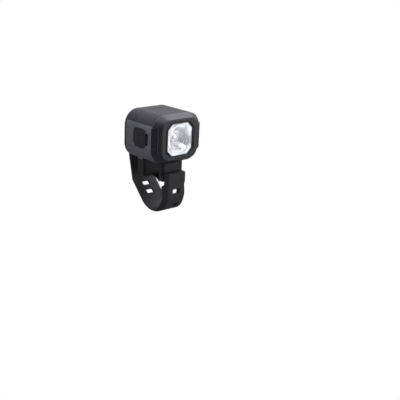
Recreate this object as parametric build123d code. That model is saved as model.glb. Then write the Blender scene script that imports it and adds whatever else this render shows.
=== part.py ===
from build123d import *
import os
from math import acos, atan2, cos, degrees, hypot, radians, sin, sqrt

# Bike headlight on a rubber strap bracket, in millimetres.
# The handlebar runs along X with its axis through the origin, +Z is up, and the light shines to -Y.
# The rider looks along -Y, so -X is the right side.
# The lamp's own pieces are drawn about the lamp's centre and lifted to lamp_height when they are written.

# Fits and gaps
press_gap = 0.05        # radial gap of a pin or screw that stays put
run_gap = 0.05          # radial gap of the screw that the lamp swivels on
seat_gap = 0.1          # gap between stepped faces of pieces that are fixed together
move_gap = 0.3          # gap round a piece that moves
overrun = 3.0           # how far a cut reaches past the face it opens

# Lamp body, outside
body_width = 56.0
body_height = 44.0
body_depth = 46.0
corner_radius = 14.0
taper_depth = 6.5       # front housing, from the seam to the front face
taper_side = 7.3        # how far the front face is drawn in at each side
taper_height = 3.65     # and at the top and the bottom
front_radius = 8.8
front_edge = 1.0        # rounding of the front face's rim
cap_depth = 3.6
cap_bevel = 1.4
wall = 2.2

# Light head
front_side_border = 4.2 # front face beside the window opening
front_top_border = 2.65 # and above and below it
window_corner = 5.6     # cut across each corner of the window opening
window_recess = 0.25
window_flange = 1.3
window_plate = 1.2
front_lip = 0.9         # thickness of the front face round the window
front_wall = 2.4
collar_length = 4.0     # collar of the front housing inside the power pack's mouth
optic_side_border = 2.7 # dark frame between the optic and the window opening
optic_top_border = 1.3
optic_corner = 5.0
optic_flange = 2.6
optic_plate = 1.2
optic_neck = 4.6
optic_share = 0.61      # how the optic, the fins and the plug share the depth left in the head
fin_share = 0.17
plug_share = 0.22
seal_thick = 0.8
emitter_size = 5.0
emitter_thick = 0.9
emitter_dome = 1.6
board_thick = 1.6
board_size = 26.0
sink_thick = 2.0
sink_fins = 7
sink_side_room = 9.0    # from the lamp's side to the heat sink's edge
sink_top_room = 4.0
sink_corner = 2.0
sink_ear = 1.0
post_radius = 2.4
post_side_room = 11.0   # from the lamp's side to the posts' axes
post_top_room = 7.0
screw_radius = 1.0
screw_head_radius = 1.9
screw_head = 1.4
screw_reach = 6.0
driver_side_room = 11.0
driver_top_room = 9.0
driver_thick = 1.4
plug_width = 14.0
plug_height = 6.0
plug_wall = 0.9

# Side latches
latch_end_room = 10.5   # from the lamp's top and bottom to the latch's ends
latch_front_share = 0.65
latch_proud = 0.9
latch_travel = 1.0
latch_lip = 1.0         # how far the flange behind the pad reaches past it
latch_flange = 1.0
arm_height = 8.0
spring_thick = 0.25
spring_bow = 2.2
spring_height = 5.0
arm_thick = 1.8
arm_length = 6.4
hook_thick = 1.4
rim_width = 0.9
groove_depth = 0.45
groove_count = 11
groove_share = 0.5

# Power pack
cell_share = 0.182      # of the mean of the lamp's depth and height
cell_side_room = 11.0   # from the lamp's sides to the cells' ends
cell_gap = 1.0
cell_cap = 0.6
cell_cap_radius = 2.8
cell_shift = 1.2
holder_wall = 1.3
lug_radius = 1.5
lug_z = 6.8
lug_y = 5.0
charge_board_height = 18.0
charge_board_depth = 13.0
charge_board_thick = 1.0
socket_length = 6.2     # from the shell's inner face to the charging board
socket_width = 3.4
socket_height = 9.0
socket_wall = 0.4
nut_flats = 7.0
nut_thick = 2.2
boss_radius = 5.6
boss_height = 2.9
cap_post_radius = 2.2
cap_post_top_room = 12.6
cap_post_length = 9.0

# Right side of the power pack
cover_share = 0.2023    # of the lamp's height, from its top down to the side panels
tray_share = 0.2364     # and from its bottom up to them
panel_thick = 1.2
port_y = -0.4
port_z = 0.3
port_size = 17.0
port_corner = 4.2
port_proud = 0.35
port_plug_wall = 0.8
bead_radius = 0.35      # hinge bead along the port cover's rear edge
finger_height = 10.8
finger_width = 3.2
finger_depth = 2.0

# Rear cap
cap_plate = 1.6
cap_collar = 2.0
seal_section = 0.9
button_radius = 6.4
button_proud = 1.0
button_travel = 0.5
button_flange = 0.9
button_edge = 0.6
switch_size = 6.0
switch_thick = 1.0
switch_nub = 1.4
button_board_room = 13.0
button_board_height = 12.0
button_board_thick = 0.5
guide_width = 2.2
guide_height = 1.4
guide_pitch = 4.4
guide_count = 3
guide_share = 0.4773    # of the way from the lamp's middle to its top

# Bracket and strap
bar_radius = 15.9       # 31.8 mm handlebar
pad_thick = 1.4
pad_half_angle = 44.0
bracket_width = 26.0
bracket_front = -14.6
bracket_top = 29.0
bracket_bottom = 12.6
bracket_edge = 4.0
waist_depth = 4.0
block_edge = 2.0
block_inset = 0.6
block_front = 15.6
block_rear = 22.4
block_bottom = 13.6
block_top = 27.2
foot_radius = 10.4
foot_thick = 1.1
swivel_radius = 2.0
swivel_head_radius = 4.0
swivel_head = 2.6
washer_thick = 0.8
pin_radius = 1.6
pin_y = -14.4
pin_z = 16.4
pin_end_radius = 2.0
pin_end = 0.7
knuckle_radius = 2.9
knuckle_width = 16.0
strap_width = bracket_width
strap_face = 18.6       # width of the outer face in front of the bar; the sides slope out to strap_width
strap_slope_start = 1.2 # thickness of the full-width part under the sloping sides
strap_head = 4.6        # thickness in front of the bar
strap_thick = 2.6       # thickness under the bar, of the rear run and of the tail
strap_top = 20.8
strap_edge = 1.2
head_corner_radius = 4.0
knee_y = 27.0
knee_z = 5.0
tail_length = 25.0
tail_lean = 14.0        # degrees back from upright
hook_width = 6.6
hook_z = 12.0
hook_bar = 2.2
hook_lip = 2.6
hole_long = 8.4
hole_short = 4.6
hole_pitch = 12.0
hole_start = 171.0      # degrees round the bar to the first hole, from +Y over the top
run_hole_shares = (0.35, 0.75)
head_angle = 30.0       # where the head's inner face meets the bar, up from the front

# Sizes and places that follow from the sizes above, counted from the lamp's centre
front_y = -body_depth / 2
rear_y = body_depth / 2
seam_y = front_y + taper_depth
cap_y = rear_y - cap_depth
plate_y = rear_y - cap_plate
button_back = plate_y - seat_gap - button_flange
switch_top = button_back - button_travel - seat_gap
switch_base = switch_top - switch_thick - seal_section / 3
cell_radius = cell_share * sqrt(body_depth * body_height)
cell_back = switch_base - button_board_thick - seat_gap
cell_y = cell_back - cell_radius
cell_front = cell_y - cell_radius - cell_gap
bulkhead_y = cell_front - holder_wall
lip_y = front_y + front_lip
window_back = lip_y + seat_gap + window_plate
seal_back = window_back + seal_thick
head_plates = emitter_thick + board_thick + sink_thick + driver_thick + 3 * seat_gap
head_room = bulkhead_y - window_back - head_plates
optic_back = window_back + seat_gap + optic_share * head_room
board_y = optic_back + emitter_thick + seat_gap
sink_y = board_y + board_thick
fin_y = sink_y + sink_thick
driver_y = fin_y + fin_share * head_room
plug_y = driver_y + driver_thick
plug_depth = plug_share * head_room

side_x = body_width / 2
top_z = body_height / 2
inner_x = side_x - wall
cap_post_x = inner_x - 0.8 * cap_post_radius
cap_post_z = top_z - cap_post_top_room
guide_z = guide_share * top_z
bottom_z = -top_z
floor_z = bottom_z + wall
panel_top = top_z - cover_share * body_height
panel_bottom = bottom_z + tray_share * body_height
lamp_height = bracket_top + move_gap + foot_thick + top_z     # centre of the lamp above the bar's axis
window_width = body_width - 2 * taper_side - 2 * front_side_border
window_height = body_height - 2 * taper_height - 2 * front_top_border
optic_width = window_width - 2 * optic_side_border
optic_height = window_height - 2 * optic_top_border
post_x = side_x - post_side_room
post_z = top_z - post_top_room
driver_width = body_width - 2 * driver_side_room
driver_height = body_height - 2 * driver_top_room
cell_length = body_width - 2 * cell_side_room
charge_board_x = inner_x - socket_length
button_board_width = body_width - 2 * button_board_room
latch_height = body_height - 2 * latch_end_room
latch_front = seam_y - latch_front_share * taper_depth
hook_reach = latch_travel + seat_gap
latch_back = seam_y - move_gap
spring_front = latch_back + 2 * move_gap
port_rear = port_y + port_size / 2
port_front = port_y - port_size / 2


def boxed(x0, x1, y0, y1, z0, z1):
    """A block between two corners, given in any order."""
    middle = ((x0 + x1) / 2, (y0 + y1) / 2, (z0 + z1) / 2)
    return Pos(*middle) * Box(abs(x1 - x0), abs(y1 - y0), abs(z1 - z0))


def y_plane(y):
    """A drawing plane across Y that faces +Y: its x is -X and its y is Z."""
    return Plane(origin=(0, y, 0), x_dir=(-1, 0, 0), z_dir=(0, 1, 0))


def x_plane(x):
    """A drawing plane across X that faces +X: its x is Y and its y is Z."""
    return Plane(origin=(x, 0, 0), x_dir=(0, 1, 0), z_dir=(1, 0, 0))


def x_rod(radius, x0, x1, y=0.0, z=0.0):
    return extrude(x_plane(min(x0, x1)) * Pos(y, z) * Circle(radius), amount=abs(x1 - x0))


def y_rod(radius, y0, y1, x=0.0, z=0.0):
    return extrude(y_plane(y0) * Pos(-x, z) * Circle(radius), amount=y1 - y0)


def z_rod(radius, z0, z1, x=0.0, y=0.0):
    return Pos(x, y, (z0 + z1) / 2) * Cylinder(radius, z1 - z0)


def rounded_prism(width, height, radius, y0, y1):
    """A rounded rectangle across Y, from y0 to y1."""
    return extrude(y_plane(y0) * RectangleRounded(width, height, radius), amount=y1 - y0)


def body_prism(inset, y0, y1):
    """The lamp's outline, drawn in by inset, from y0 to y1."""
    return rounded_prism(body_width - 2 * inset, body_height - 2 * inset, corner_radius - inset, y0, y1)


def octagon_prism(width, height, corner, y0, y1):
    """A rectangle with its corners cut off, from y0 to y1."""
    w, h = width / 2, height / 2
    points = [(w, corner - h), (w, h - corner), (w - corner, h), (corner - w, h),
              (-w, h - corner), (-w, corner - h), (corner - w, -h), (w - corner, -h)]
    return extrude(y_plane(y0) * make_face(Polyline(*points, close=True)), amount=y1 - y0)


def taper_outline(inset, y):
    share = (seam_y - y) / taper_depth
    width = body_width - 2 * inset - 2 * taper_side * share
    height = body_height - 2 * inset - 2 * taper_height * share
    radius = corner_radius - inset - (corner_radius - front_radius) * share
    return y_plane(y) * RectangleRounded(width, height, radius)


def taper_solid(inset, y_front):
    """The front housing's tapered block, drawn in by inset all round, from y_front to the seam."""
    return loft([taper_outline(inset, y_front), taper_outline(inset, seam_y)])


def mirrored(shape):
    return mirror(shape, Plane.YZ)


def group(pieces):
    return Compound(children=[solid for piece in pieces for solid in piece.solids()])


def four_places(x, z):
    return [(sx * x, sz * z) for sx in (1, -1) for sz in (1, -1)]


# Light head: front housing, window, seal, optic, emitter, heat sink and driver

def front_block():
    """The tapered block with its front rim rounded."""
    block = taper_solid(0, front_y)
    return fillet(block.faces().sort_by(Axis.Y)[0].edges(), front_edge)


def cheek_x(y):
    """Outer face of the left cheek at depth y."""
    return side_x - taper_side / taper_depth * (seam_y - y)


latch_face = cheek_x(latch_front) - front_wall - move_gap     # inner face of the latch's pad
latch_inner = latch_face - latch_flange
arm_x = inner_x - move_gap - hook_reach                        # outer face of the latch's arm
sink_ear_x = arm_x - arm_thick - spring_bow


def front_housing():
    """Tapered shell with the window opening, a window each side for the latches, and a collar behind."""
    face_back = window_back
    shell = front_block() - taper_solid(front_wall, face_back)
    collar_inset = wall + seat_gap
    collar = body_prism(collar_inset, seam_y, seam_y + collar_length)
    collar = collar - body_prism(collar_inset + front_wall, seam_y - overrun, seam_y + collar_length + overrun)
    bridge = body_prism(front_wall / 2, seam_y - front_wall / 2, seam_y)
    bridge = bridge - body_prism(collar_inset + front_wall, seam_y - overrun, seam_y + overrun)
    shell = shell + collar + (bridge & taper_solid(0, front_y))
    posts = [y_rod(post_radius, face_back, sink_y, x, z) for x, z in four_places(post_x, post_z)]
    inside = taper_solid(front_wall / 2, front_y) + body_prism(collar_inset, seam_y, sink_y)
    for post in posts:
        shell = shell + (post & inside)
    shell = shell - octagon_prism(window_width, window_height, window_corner, front_y - overrun, seam_y)
    seat_width = window_width + 2 * window_flange
    seat_height = window_height + 2 * window_flange
    shell = shell - octagon_prism(seat_width, seat_height, window_corner, lip_y, seal_back + optic_plate)
    for x, z in four_places(post_x, post_z):
        shell = shell - y_rod(screw_radius + press_gap, sink_y - screw_reach, sink_y + overrun, x, z)
    opening = boxed(latch_inner, side_x + overrun, latch_front - move_gap, seam_y,
                    -latch_height / 2 - move_gap, latch_height / 2 + move_gap)
    relief = boxed(latch_inner, side_x, latch_front, seam_y + collar_length + overrun,
                   -latch_height / 2 - latch_lip - move_gap, latch_height / 2 + latch_lip + move_gap)
    relief = relief - (taper_solid(0, front_y) - taper_solid(front_wall, front_y))
    cuts = opening + relief
    return shell - cuts - mirrored(cuts)


def window():
    gap = 2 * seat_gap
    pane = octagon_prism(window_width - gap, window_height - gap, window_corner, front_y + window_recess, window_back)
    flange = octagon_prism(window_width + 2 * window_flange - gap, window_height + 2 * window_flange - gap,
                           window_corner, lip_y + seat_gap, window_back)
    return pane + flange


def window_seal():
    """Black frame that shows as the dark border between the window and the optic."""
    gap = 2 * seat_gap
    frame = octagon_prism(window_width + 2 * window_flange - gap, window_height + 2 * window_flange - gap,
                          window_corner, window_back, seal_back)
    return frame - octagon_prism(optic_width + gap, optic_height + gap, optic_corner, front_y, seam_y)


def optic():
    """Clear lens block: a face in the seal, a flange behind it, and a cone down to the emitter."""
    face = octagon_prism(optic_width, optic_height, optic_corner, window_back + seat_gap, seal_back + optic_plate)
    flange = octagon_prism(optic_width + 2 * optic_flange, optic_height + optic_flange, optic_corner + optic_flange,
                           seal_back, seal_back + optic_plate)
    cone_front = y_plane(seal_back + optic_plate) * Circle(optic_width / 2 - optic_flange / 2)
    cone = loft([cone_front, y_plane(optic_back) * Circle(optic_neck)])
    pocket = y_rod(emitter_dome + 2 * seat_gap, optic_back - emitter_dome - seat_gap, optic_back + overrun)
    return face + flange + cone - pocket


def emitter():
    base = boxed(-emitter_size / 2, emitter_size / 2, board_y - emitter_thick, board_y,
                 -emitter_size / 2, emitter_size / 2)
    dome = Pos(0, board_y - emitter_thick, 0) * Sphere(emitter_dome)
    return base + (dome & y_rod(emitter_size, board_y - emitter_size, board_y - emitter_thick))


def emitter_board():
    board = octagon_prism(board_size, board_size, optic_corner, board_y, sink_y)
    for x, z in four_places(board_size / 2, 0):
        board = board - y_rod(screw_head_radius, board_y - overrun, sink_y + overrun, x, z)
    return board


def heat_sink():
    """Aluminium plate behind the emitter's board, with upright fins."""
    sink = octagon_prism(body_width - 2 * sink_side_room, body_height - 2 * sink_top_room, sink_corner, sink_y, fin_y)
    sink = sink & body_prism(wall + front_wall + 2 * seat_gap, sink_y, fin_y)
    pitch = board_size / (sink_fins - 1)
    fin = pitch / 4
    fin_end = post_z - screw_head_radius - seat_gap
    for i in range(sink_fins):
        x = (i - (sink_fins - 1) / 2) * pitch
        sink = sink + boxed(x - fin / 2, x + fin / 2, fin_y, driver_y, -fin_end, fin_end)
    for sign in (1, -1):
        sink = sink + boxed(sign * board_size / 2, sign * sink_ear_x, sink_y, fin_y, -arm_height / 2, arm_height / 2)
        sink = sink + boxed(sign * (sink_ear_x - sink_ear), sign * sink_ear_x, spring_front - seat_gap, fin_y,
                            -arm_height / 2, arm_height / 2)
    for x, z in four_places(post_x, post_z):
        sink = sink - y_rod(screw_radius + seat_gap, sink_y - overrun, driver_y + overrun, x, z)
    return sink


def head_screws():
    """Four screws through the heat sink into the front housing's posts."""
    return group([y_rod(screw_radius, sink_y - screw_reach + seat_gap, fin_y, x, z)
                  + y_rod(screw_head_radius, fin_y, fin_y + screw_head, x, z)
                  for x, z in four_places(post_x, post_z)])


def driver_board():
    """Driver with its coil, chips and the plug's pads."""
    board = boxed(-driver_width / 2, driver_width / 2, driver_y, plug_y, -driver_height / 2, driver_height / 2)
    chip = driver_height / 5
    board = board + boxed(chip, 2 * chip, plug_y, plug_y + plug_depth / 2, chip, 2 * chip)
    board = board + y_rod(chip / 2, plug_y, plug_y + plug_depth / 2, -1.5 * chip, -1.5 * chip)
    return board


def head_plug():
    """Shroud on the driver that the power pack's contacts enter."""
    shroud = boxed(-plug_width / 2, plug_width / 2, plug_y, plug_y + plug_depth, -plug_height / 2, plug_height / 2)
    inside = plug_width / 2 - plug_wall
    return shroud - boxed(-inside, inside, plug_y - overrun, plug_y + plug_depth + overrun,
                          plug_wall - plug_height / 2, plug_height / 2 - plug_wall)


def pack_contacts():
    """Contact block of the power pack, inside the plug's shroud."""
    half = plug_width / 2 - plug_wall - seat_gap
    high = plug_height / 2 - plug_wall - seat_gap
    return boxed(-half, half, plug_y + seat_gap, bulkhead_y, -high, high)


# Latches: a ribbed pad in the cheek, a flange behind it and an arm with a hook that holds the power pack

def latch_left():
    half = latch_height / 2
    front, back = latch_front, latch_back
    outline = [(latch_face, front), (cheek_x(front) + latch_proud, front),
               (cheek_x(back) + latch_proud, back), (latch_face, back)]
    pad = extrude(Plane.XY.offset(-half) * make_face(Polyline(*outline, close=True)), amount=latch_height)
    pitch = (latch_height - 2 * rim_width) / groove_count
    slope = [(cheek_x(front + rim_width) + latch_proud - groove_depth, front + rim_width),
             (cheek_x(front + rim_width) + overrun, front + rim_width),
             (cheek_x(back) + overrun, back + overrun),
             (cheek_x(back + overrun) + latch_proud - groove_depth, back + overrun)]
    groove_face = make_face(Polyline(*slope, close=True))
    for i in range(groove_count):
        z = (i + 0.5) * pitch + rim_width - half
        pad = pad - extrude(Plane.XY.offset(z - groove_share * pitch / 2) * groove_face, amount=groove_share * pitch)
    flange = boxed(latch_inner, latch_face, front, back, -half, half)
    flange = flange + boxed(latch_inner, latch_face, front + latch_lip, back, -half - latch_lip, half + latch_lip)
    arm_end = seam_y + arm_length
    arm = boxed(arm_x - arm_thick, arm_x, back - arm_thick, arm_end, -arm_height / 2, arm_height / 2)
    hook = boxed(arm_x, arm_x + hook_reach, arm_end - hook_thick, arm_end, -arm_height / 2, arm_height / 2)
    return pad + flange + arm + hook


def latch_spring_left():
    """Bowed steel leaf between the heat sink's ear and the latch's arm."""
    bow_in, bow_out = sink_ear_x, arm_x - arm_thick
    y0, y1 = spring_front, fin_y - seat_gap
    middle = (y0 + y1) / 2
    outer = ThreePointArc((bow_in, y0), (bow_out, middle), (bow_in, y1))
    inner = ThreePointArc((bow_in, y1 - spring_thick), (bow_out - spring_thick, middle), (bow_in, y0 + spring_thick))
    ends = [Line(outer @ 1, inner @ 0), Line(inner @ 1, outer @ 0)]
    face = Plane.XY.offset(-spring_height / 2) * make_face([outer, ends[0], inner, ends[1]])
    return extrude(face, amount=spring_height)


# Power pack: shells, panels, cells, boards and rear cap

def ring(inset, depth, y0, y1):
    """Part of a shell between two insets of the lamp's outline."""
    return body_prism(inset, y0, y1) - body_prism(inset + depth, y0 - overrun, y1 + overrun)


def below(z):
    return boxed(-body_width, body_width, -body_depth, body_depth, -body_height, z)


def above(z):
    return boxed(-body_width, body_width, -body_depth, body_depth, z, body_height)


def panel_zone(gap):
    """Space of both side panels, with a gap at their ends."""
    zone = ring(0, panel_thick, seam_y, cap_y) & below(panel_top) & above(panel_bottom + gap)
    return zone & (boxed(-side_x, side_x, seam_y + gap, cap_y - gap, -body_height, body_height))


def port_cut(size, x_in, x_out):
    """The port cover's outline cut through the right side."""
    outline = RectangleRounded(size, size, port_corner)
    return extrude(x_plane(-x_out) * Pos(port_y, port_z) * outline, amount=x_out - x_in)


def finger_slot():
    """Slot in front of the port cover for a fingernail."""
    rear = port_front - move_gap / 2
    return boxed(-side_x - overrun, finger_depth - side_x, rear - finger_width, rear,
                 port_z - finger_height / 2, port_z + finger_height / 2)


def bead_groove():
    half = (port_size - port_corner) / 2
    return z_rod(bead_radius + move_gap, port_z - half, port_z + half, -side_x, port_rear)


def plug_opening():
    gap = 2 * move_gap
    wide = socket_width / 2 + port_plug_wall + gap
    high = socket_height / 2 + port_plug_wall + gap
    return boxed(-side_x - overrun, -inner_x + overrun, port_y - wide, port_y + wide, port_z - high, port_z + high)


def lower_shell():
    """Tray of the power pack: floor and both sides, recessed for the side panels."""
    shell = ring(0, wall, seam_y, cap_y) & below(panel_top)
    shell = shell - (ring(-overrun, panel_thick + overrun, seam_y, cap_y) & above(panel_bottom))
    catch_back = seam_y + arm_length - hook_thick - move_gap
    catch = boxed(arm_x + move_gap, inner_x + wall / 4, catch_back - hook_thick, catch_back,
                  -arm_height / 2, arm_height / 2)
    shell = shell + catch + mirrored(catch)
    for x, z in four_places(cap_post_x, cap_post_z):
        post = y_rod(cap_post_radius, cap_y - cap_post_length, cap_y - cap_collar - seal_section - seat_gap, x, z)
        shell = shell + (post & body_prism(wall / 2 + panel_thick / 2, seam_y, cap_y))
        shell = shell - y_rod(screw_radius + press_gap, cap_y - cap_post_length + wall, cap_y, x, z)
    shell = shell + z_rod(boss_radius, floor_z - wall / 2, floor_z + boss_height)
    shell = shell - z_rod(swivel_radius + press_gap, bottom_z - overrun, floor_z + boss_height + overrun)
    pocket = RegularPolygon(nut_flats / 2 + press_gap, 6, major_radius=False)
    pocket_z = floor_z + boss_height - nut_thick
    shell = shell - extrude(Plane.XY.offset(pocket_z) * pocket, amount=nut_thick + overrun)
    return shell - plug_opening() - finger_slot() - bead_groove()


def top_cover():
    """Grained cover over the top of the power pack, down to the side panels."""
    return ring(0, wall, seam_y, cap_y) & above(panel_top)


def side_panel_left():
    return panel_zone(seat_gap) & boxed(0, body_width, seam_y, cap_y, -body_height, body_height)


def side_panel_right():
    panel = panel_zone(seat_gap) & boxed(-body_width, 0, seam_y, cap_y, -body_height, body_height)
    panel = panel - port_cut(port_size + 2 * move_gap, side_x - panel_thick - overrun, side_x + overrun)
    return panel - finger_slot() - bead_groove()


def port_cover():
    """Rubber door over the charging socket: plate, plug lip and the bead that it swings on."""
    plate = port_cut(port_size, side_x - panel_thick + move_gap / 2, side_x + port_proud)
    grip_front = port_front + port_corner / 2
    plate = plate - boxed(-side_x - overrun, -side_x, grip_front, grip_front + port_plug_wall,
                          port_z - finger_height / 2, port_z + finger_height / 2)
    bead = z_rod(bead_radius, port_z - port_size / 2 + port_corner, port_z + port_size / 2 - port_corner,
                 -side_x, port_rear)
    wide = socket_width / 2 + port_plug_wall - move_gap
    high = socket_height / 2 + port_plug_wall - move_gap
    plug = boxed(panel_thick / 2 - side_x, wall - side_x, port_y - wide, port_y + wide, port_z - high, port_z + high)
    mouth = boxed(-inner_x - panel_thick / 2, -inner_x + overrun, port_y - wide / 2, port_y + wide / 2,
                  port_z - high + port_plug_wall, port_z + high - port_plug_wall)
    return plate + bead + (plug - mouth)


def cell_holder():
    """Carrier of the cells: a bulkhead across the pack and an end plate at each end of the cells."""
    inset = wall + seat_gap
    half = cell_length / 2 + cell_cap + seat_gap
    holder = body_prism(inset, bulkhead_y, cell_front)
    for sign in (1, -1):
        inner = cell_shift + sign * half
        holder = holder + boxed(inner, inner + sign * holder_wall, cell_front, cell_back, -body_height, body_height)
    seal_front = cap_y - cap_collar - seal_section - seat_gap
    holder = holder & (body_prism(inset, bulkhead_y, seal_front)
                       + body_prism(inset + wall + seat_gap, seal_front, cell_back))
    notch = boxed(-body_width, -charge_board_x + charge_board_thick, bulkhead_y - overrun, cell_front + overrun,
                  -charge_board_height / 2 - wall, charge_board_height / 2 + wall)
    holder = holder - notch - z_rod(boss_radius + seat_gap, bottom_z, floor_z + boss_height + seat_gap)
    end_x = cell_shift - half - holder_wall
    for z in (lug_z, -lug_z):
        holder = holder + x_rod(lug_radius, end_x + holder_wall / 2, -charge_board_x + charge_board_thick,
                                lug_y, port_z + z)
    return holder


def battery_cells():
    """Two lithium cells, one above the other."""
    x0 = cell_shift - cell_length / 2
    x1 = cell_shift + cell_length / 2
    return group([x_rod(cell_radius - seat_gap, x0, x1, cell_y, z)
                  + x_rod(cell_cap_radius, x1, x1 + cell_cap, cell_y, z)
                  for z in (cell_radius, -cell_radius)])


def charge_board():
    return boxed(-charge_board_x, -charge_board_x + charge_board_thick, lug_y + lug_radius * 2 - charge_board_depth,
                 lug_y + lug_radius * 2, port_z - charge_board_height / 2, port_z + charge_board_height / 2)


def charge_socket():
    """Upright charging socket: a metal shell with a tongue."""
    wide, high = socket_width / 2, socket_height / 2
    mouth = -inner_x + seat_gap
    shell = boxed(mouth, -charge_board_x, port_y - wide, port_y + wide, port_z - high, port_z + high)
    shell = fillet(shell.edges().filter_by(Axis.X), socket_width / 3)
    back = -charge_board_x - socket_wall * 2
    inside = boxed(mouth - overrun, back, port_y - wide + socket_wall, port_y + wide - socket_wall,
                   port_z - high + socket_wall, port_z + high - socket_wall)
    tongue = boxed(mouth + socket_wall * 2, -charge_board_x, port_y - socket_wall, port_y + socket_wall,
                   port_z - high + socket_width / 2, port_z + high - socket_width / 2)
    return (shell - inside) + tongue


def rear_cap():
    """Rear cap with a bevelled rim, a collar inside the shells and holes for the button, lights and screws."""
    cap = body_prism(0, cap_y, rear_y)
    cap = chamfer(cap.faces().sort_by(Axis.Y)[-1].edges(), cap_bevel)
    cap = cap - body_prism(wall, cap_y - overrun, plate_y)
    collar = ring(wall + seat_gap, wall, cap_y - cap_collar, cap_y)
    root = ring(wall / 2, wall * 3 / 2 + seat_gap, cap_y, plate_y)
    cap = cap + collar + (root & body_prism(0, cap_y, plate_y))
    cap = cap - y_rod(button_radius + move_gap, cap_y, rear_y + overrun)
    for x in guide_places():
        cap = cap - boxed(x - guide_width / 2 - seat_gap, x + guide_width / 2 + seat_gap, cap_y, rear_y + overrun,
                          guide_z - guide_height / 2 - seat_gap, guide_z + guide_height / 2 + seat_gap)
    for x, z in four_places(cap_post_x, cap_post_z):
        cap = cap + y_rod(cap_post_radius + wall / 2, cap_y - cap_collar, plate_y, x, z)
        cap = cap - y_rod(screw_radius + seat_gap, cap_y - overrun, rear_y + overrun, x, z)
        cap = cap - y_rod(screw_head_radius + seat_gap, rear_y - screw_head - seat_gap, rear_y + overrun, x, z)
    return cap & (body_prism(0, cap_y, rear_y) + body_prism(wall + seat_gap, cap_y - cap_collar, cap_y))


def rear_seal():
    """Rubber frame between the rear cap's collar and the shells."""
    seal = ring(wall + seat_gap, wall, cap_y - cap_collar - seal_section, cap_y - cap_collar)
    for x, z in four_places(cap_post_x, cap_post_z):
        seal = seal - y_rod(screw_radius + seat_gap, cap_y - cap_collar - overrun, cap_y, x, z)
    return seal


def cap_screws():
    tip = cap_y - cap_post_length + wall + seat_gap
    return group([y_rod(screw_radius, tip, rear_y - screw_head - seat_gap, x, z)
                  + y_rod(screw_head_radius, rear_y - screw_head - seat_gap, rear_y - seat_gap, x, z)
                  - y_rod(screw_radius / 2, rear_y - screw_head / 2, rear_y, x, z)
                  for x, z in four_places(cap_post_x, cap_post_z)])


def guide_places():
    return [(i - (guide_count - 1) / 2) * guide_pitch for i in range(guide_count)]


def status_guides():
    """Clear bars that carry the battery lights to the rear cap, joined by a web behind it."""
    web_half = guide_pitch * (guide_count - 1) / 2 + guide_width / 2
    guides = boxed(-web_half, web_half, plate_y - guide_height - seat_gap, plate_y - seat_gap,
                   guide_z - guide_height / 2, guide_z + guide_height / 2)
    for x in guide_places():
        guides = guides + boxed(x - guide_width / 2, x + guide_width / 2, plate_y - guide_height, rear_y,
                                guide_z - guide_height / 2, guide_z + guide_height / 2)
    return guides


def power_button():
    cap = y_rod(button_radius, plate_y - seat_gap, rear_y + button_proud)
    cap = fillet(cap.faces().sort_by(Axis.Y)[-1].edges(), button_edge)
    return cap + y_rod(button_radius + button_flange, plate_y - seat_gap - button_flange, plate_y - seat_gap)


def button_board():
    """Board behind the rear cap that carries the switch; it lies on the holder's end plates."""
    high = button_board_height / 2
    board = boxed(-button_board_width / 2, button_board_width / 2, cell_back + seat_gap, switch_base, -high, high)
    reach = cell_length / 2 + holder_wall + cell_cap
    front = cell_back + button_board_thick
    return board + boxed(cell_shift - reach, cell_shift + reach, cell_back, front, -high, high)


def button_switch():
    half = switch_size / 2
    body = boxed(-half, half, switch_base, switch_top - seal_section / 3, -half, half)
    return body + y_rod(switch_nub, switch_top - seal_section / 3, switch_top)


def swivel_foot():
    """Round foot under the power pack that turns on the bracket's top."""
    foot = z_rod(foot_radius, bottom_z - foot_thick, bottom_z)
    return foot - z_rod(swivel_radius + press_gap, bottom_z - overrun, bottom_z + overrun)


washer_z = bracket_top - lamp_height - swivel_head_radius - swivel_head


def swivel_screw():
    """Screw up through the bracket into the nut; it turns with the lamp."""
    top = floor_z + boss_height
    shank = z_rod(swivel_radius, washer_z - washer_thick, top)
    head = z_rod(swivel_head_radius, washer_z - washer_thick - swivel_head, washer_z - washer_thick)
    socket = RegularPolygon(swivel_radius * 3 / 4, 6)
    drive = extrude(Plane.XY.offset(washer_z - washer_thick - swivel_head) * socket, amount=swivel_head / 2)
    return shank + head - drive


def swivel_nut():
    pocket_z = floor_z + boss_height - nut_thick
    nut = extrude(Plane.XY.offset(pocket_z) * RegularPolygon(nut_flats / 2, 6, major_radius=False), amount=nut_thick)
    return nut - z_rod(swivel_radius + press_gap, pocket_z - overrun, pocket_z + nut_thick + overrun)


# Bracket, its pad, the strap and the strap's pin

def swivel_washer():
    z = washer_z + lamp_height
    return z_rod(swivel_head_radius, z - washer_thick, z) - z_rod(swivel_radius + run_gap, z - overrun, z + overrun)


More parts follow.
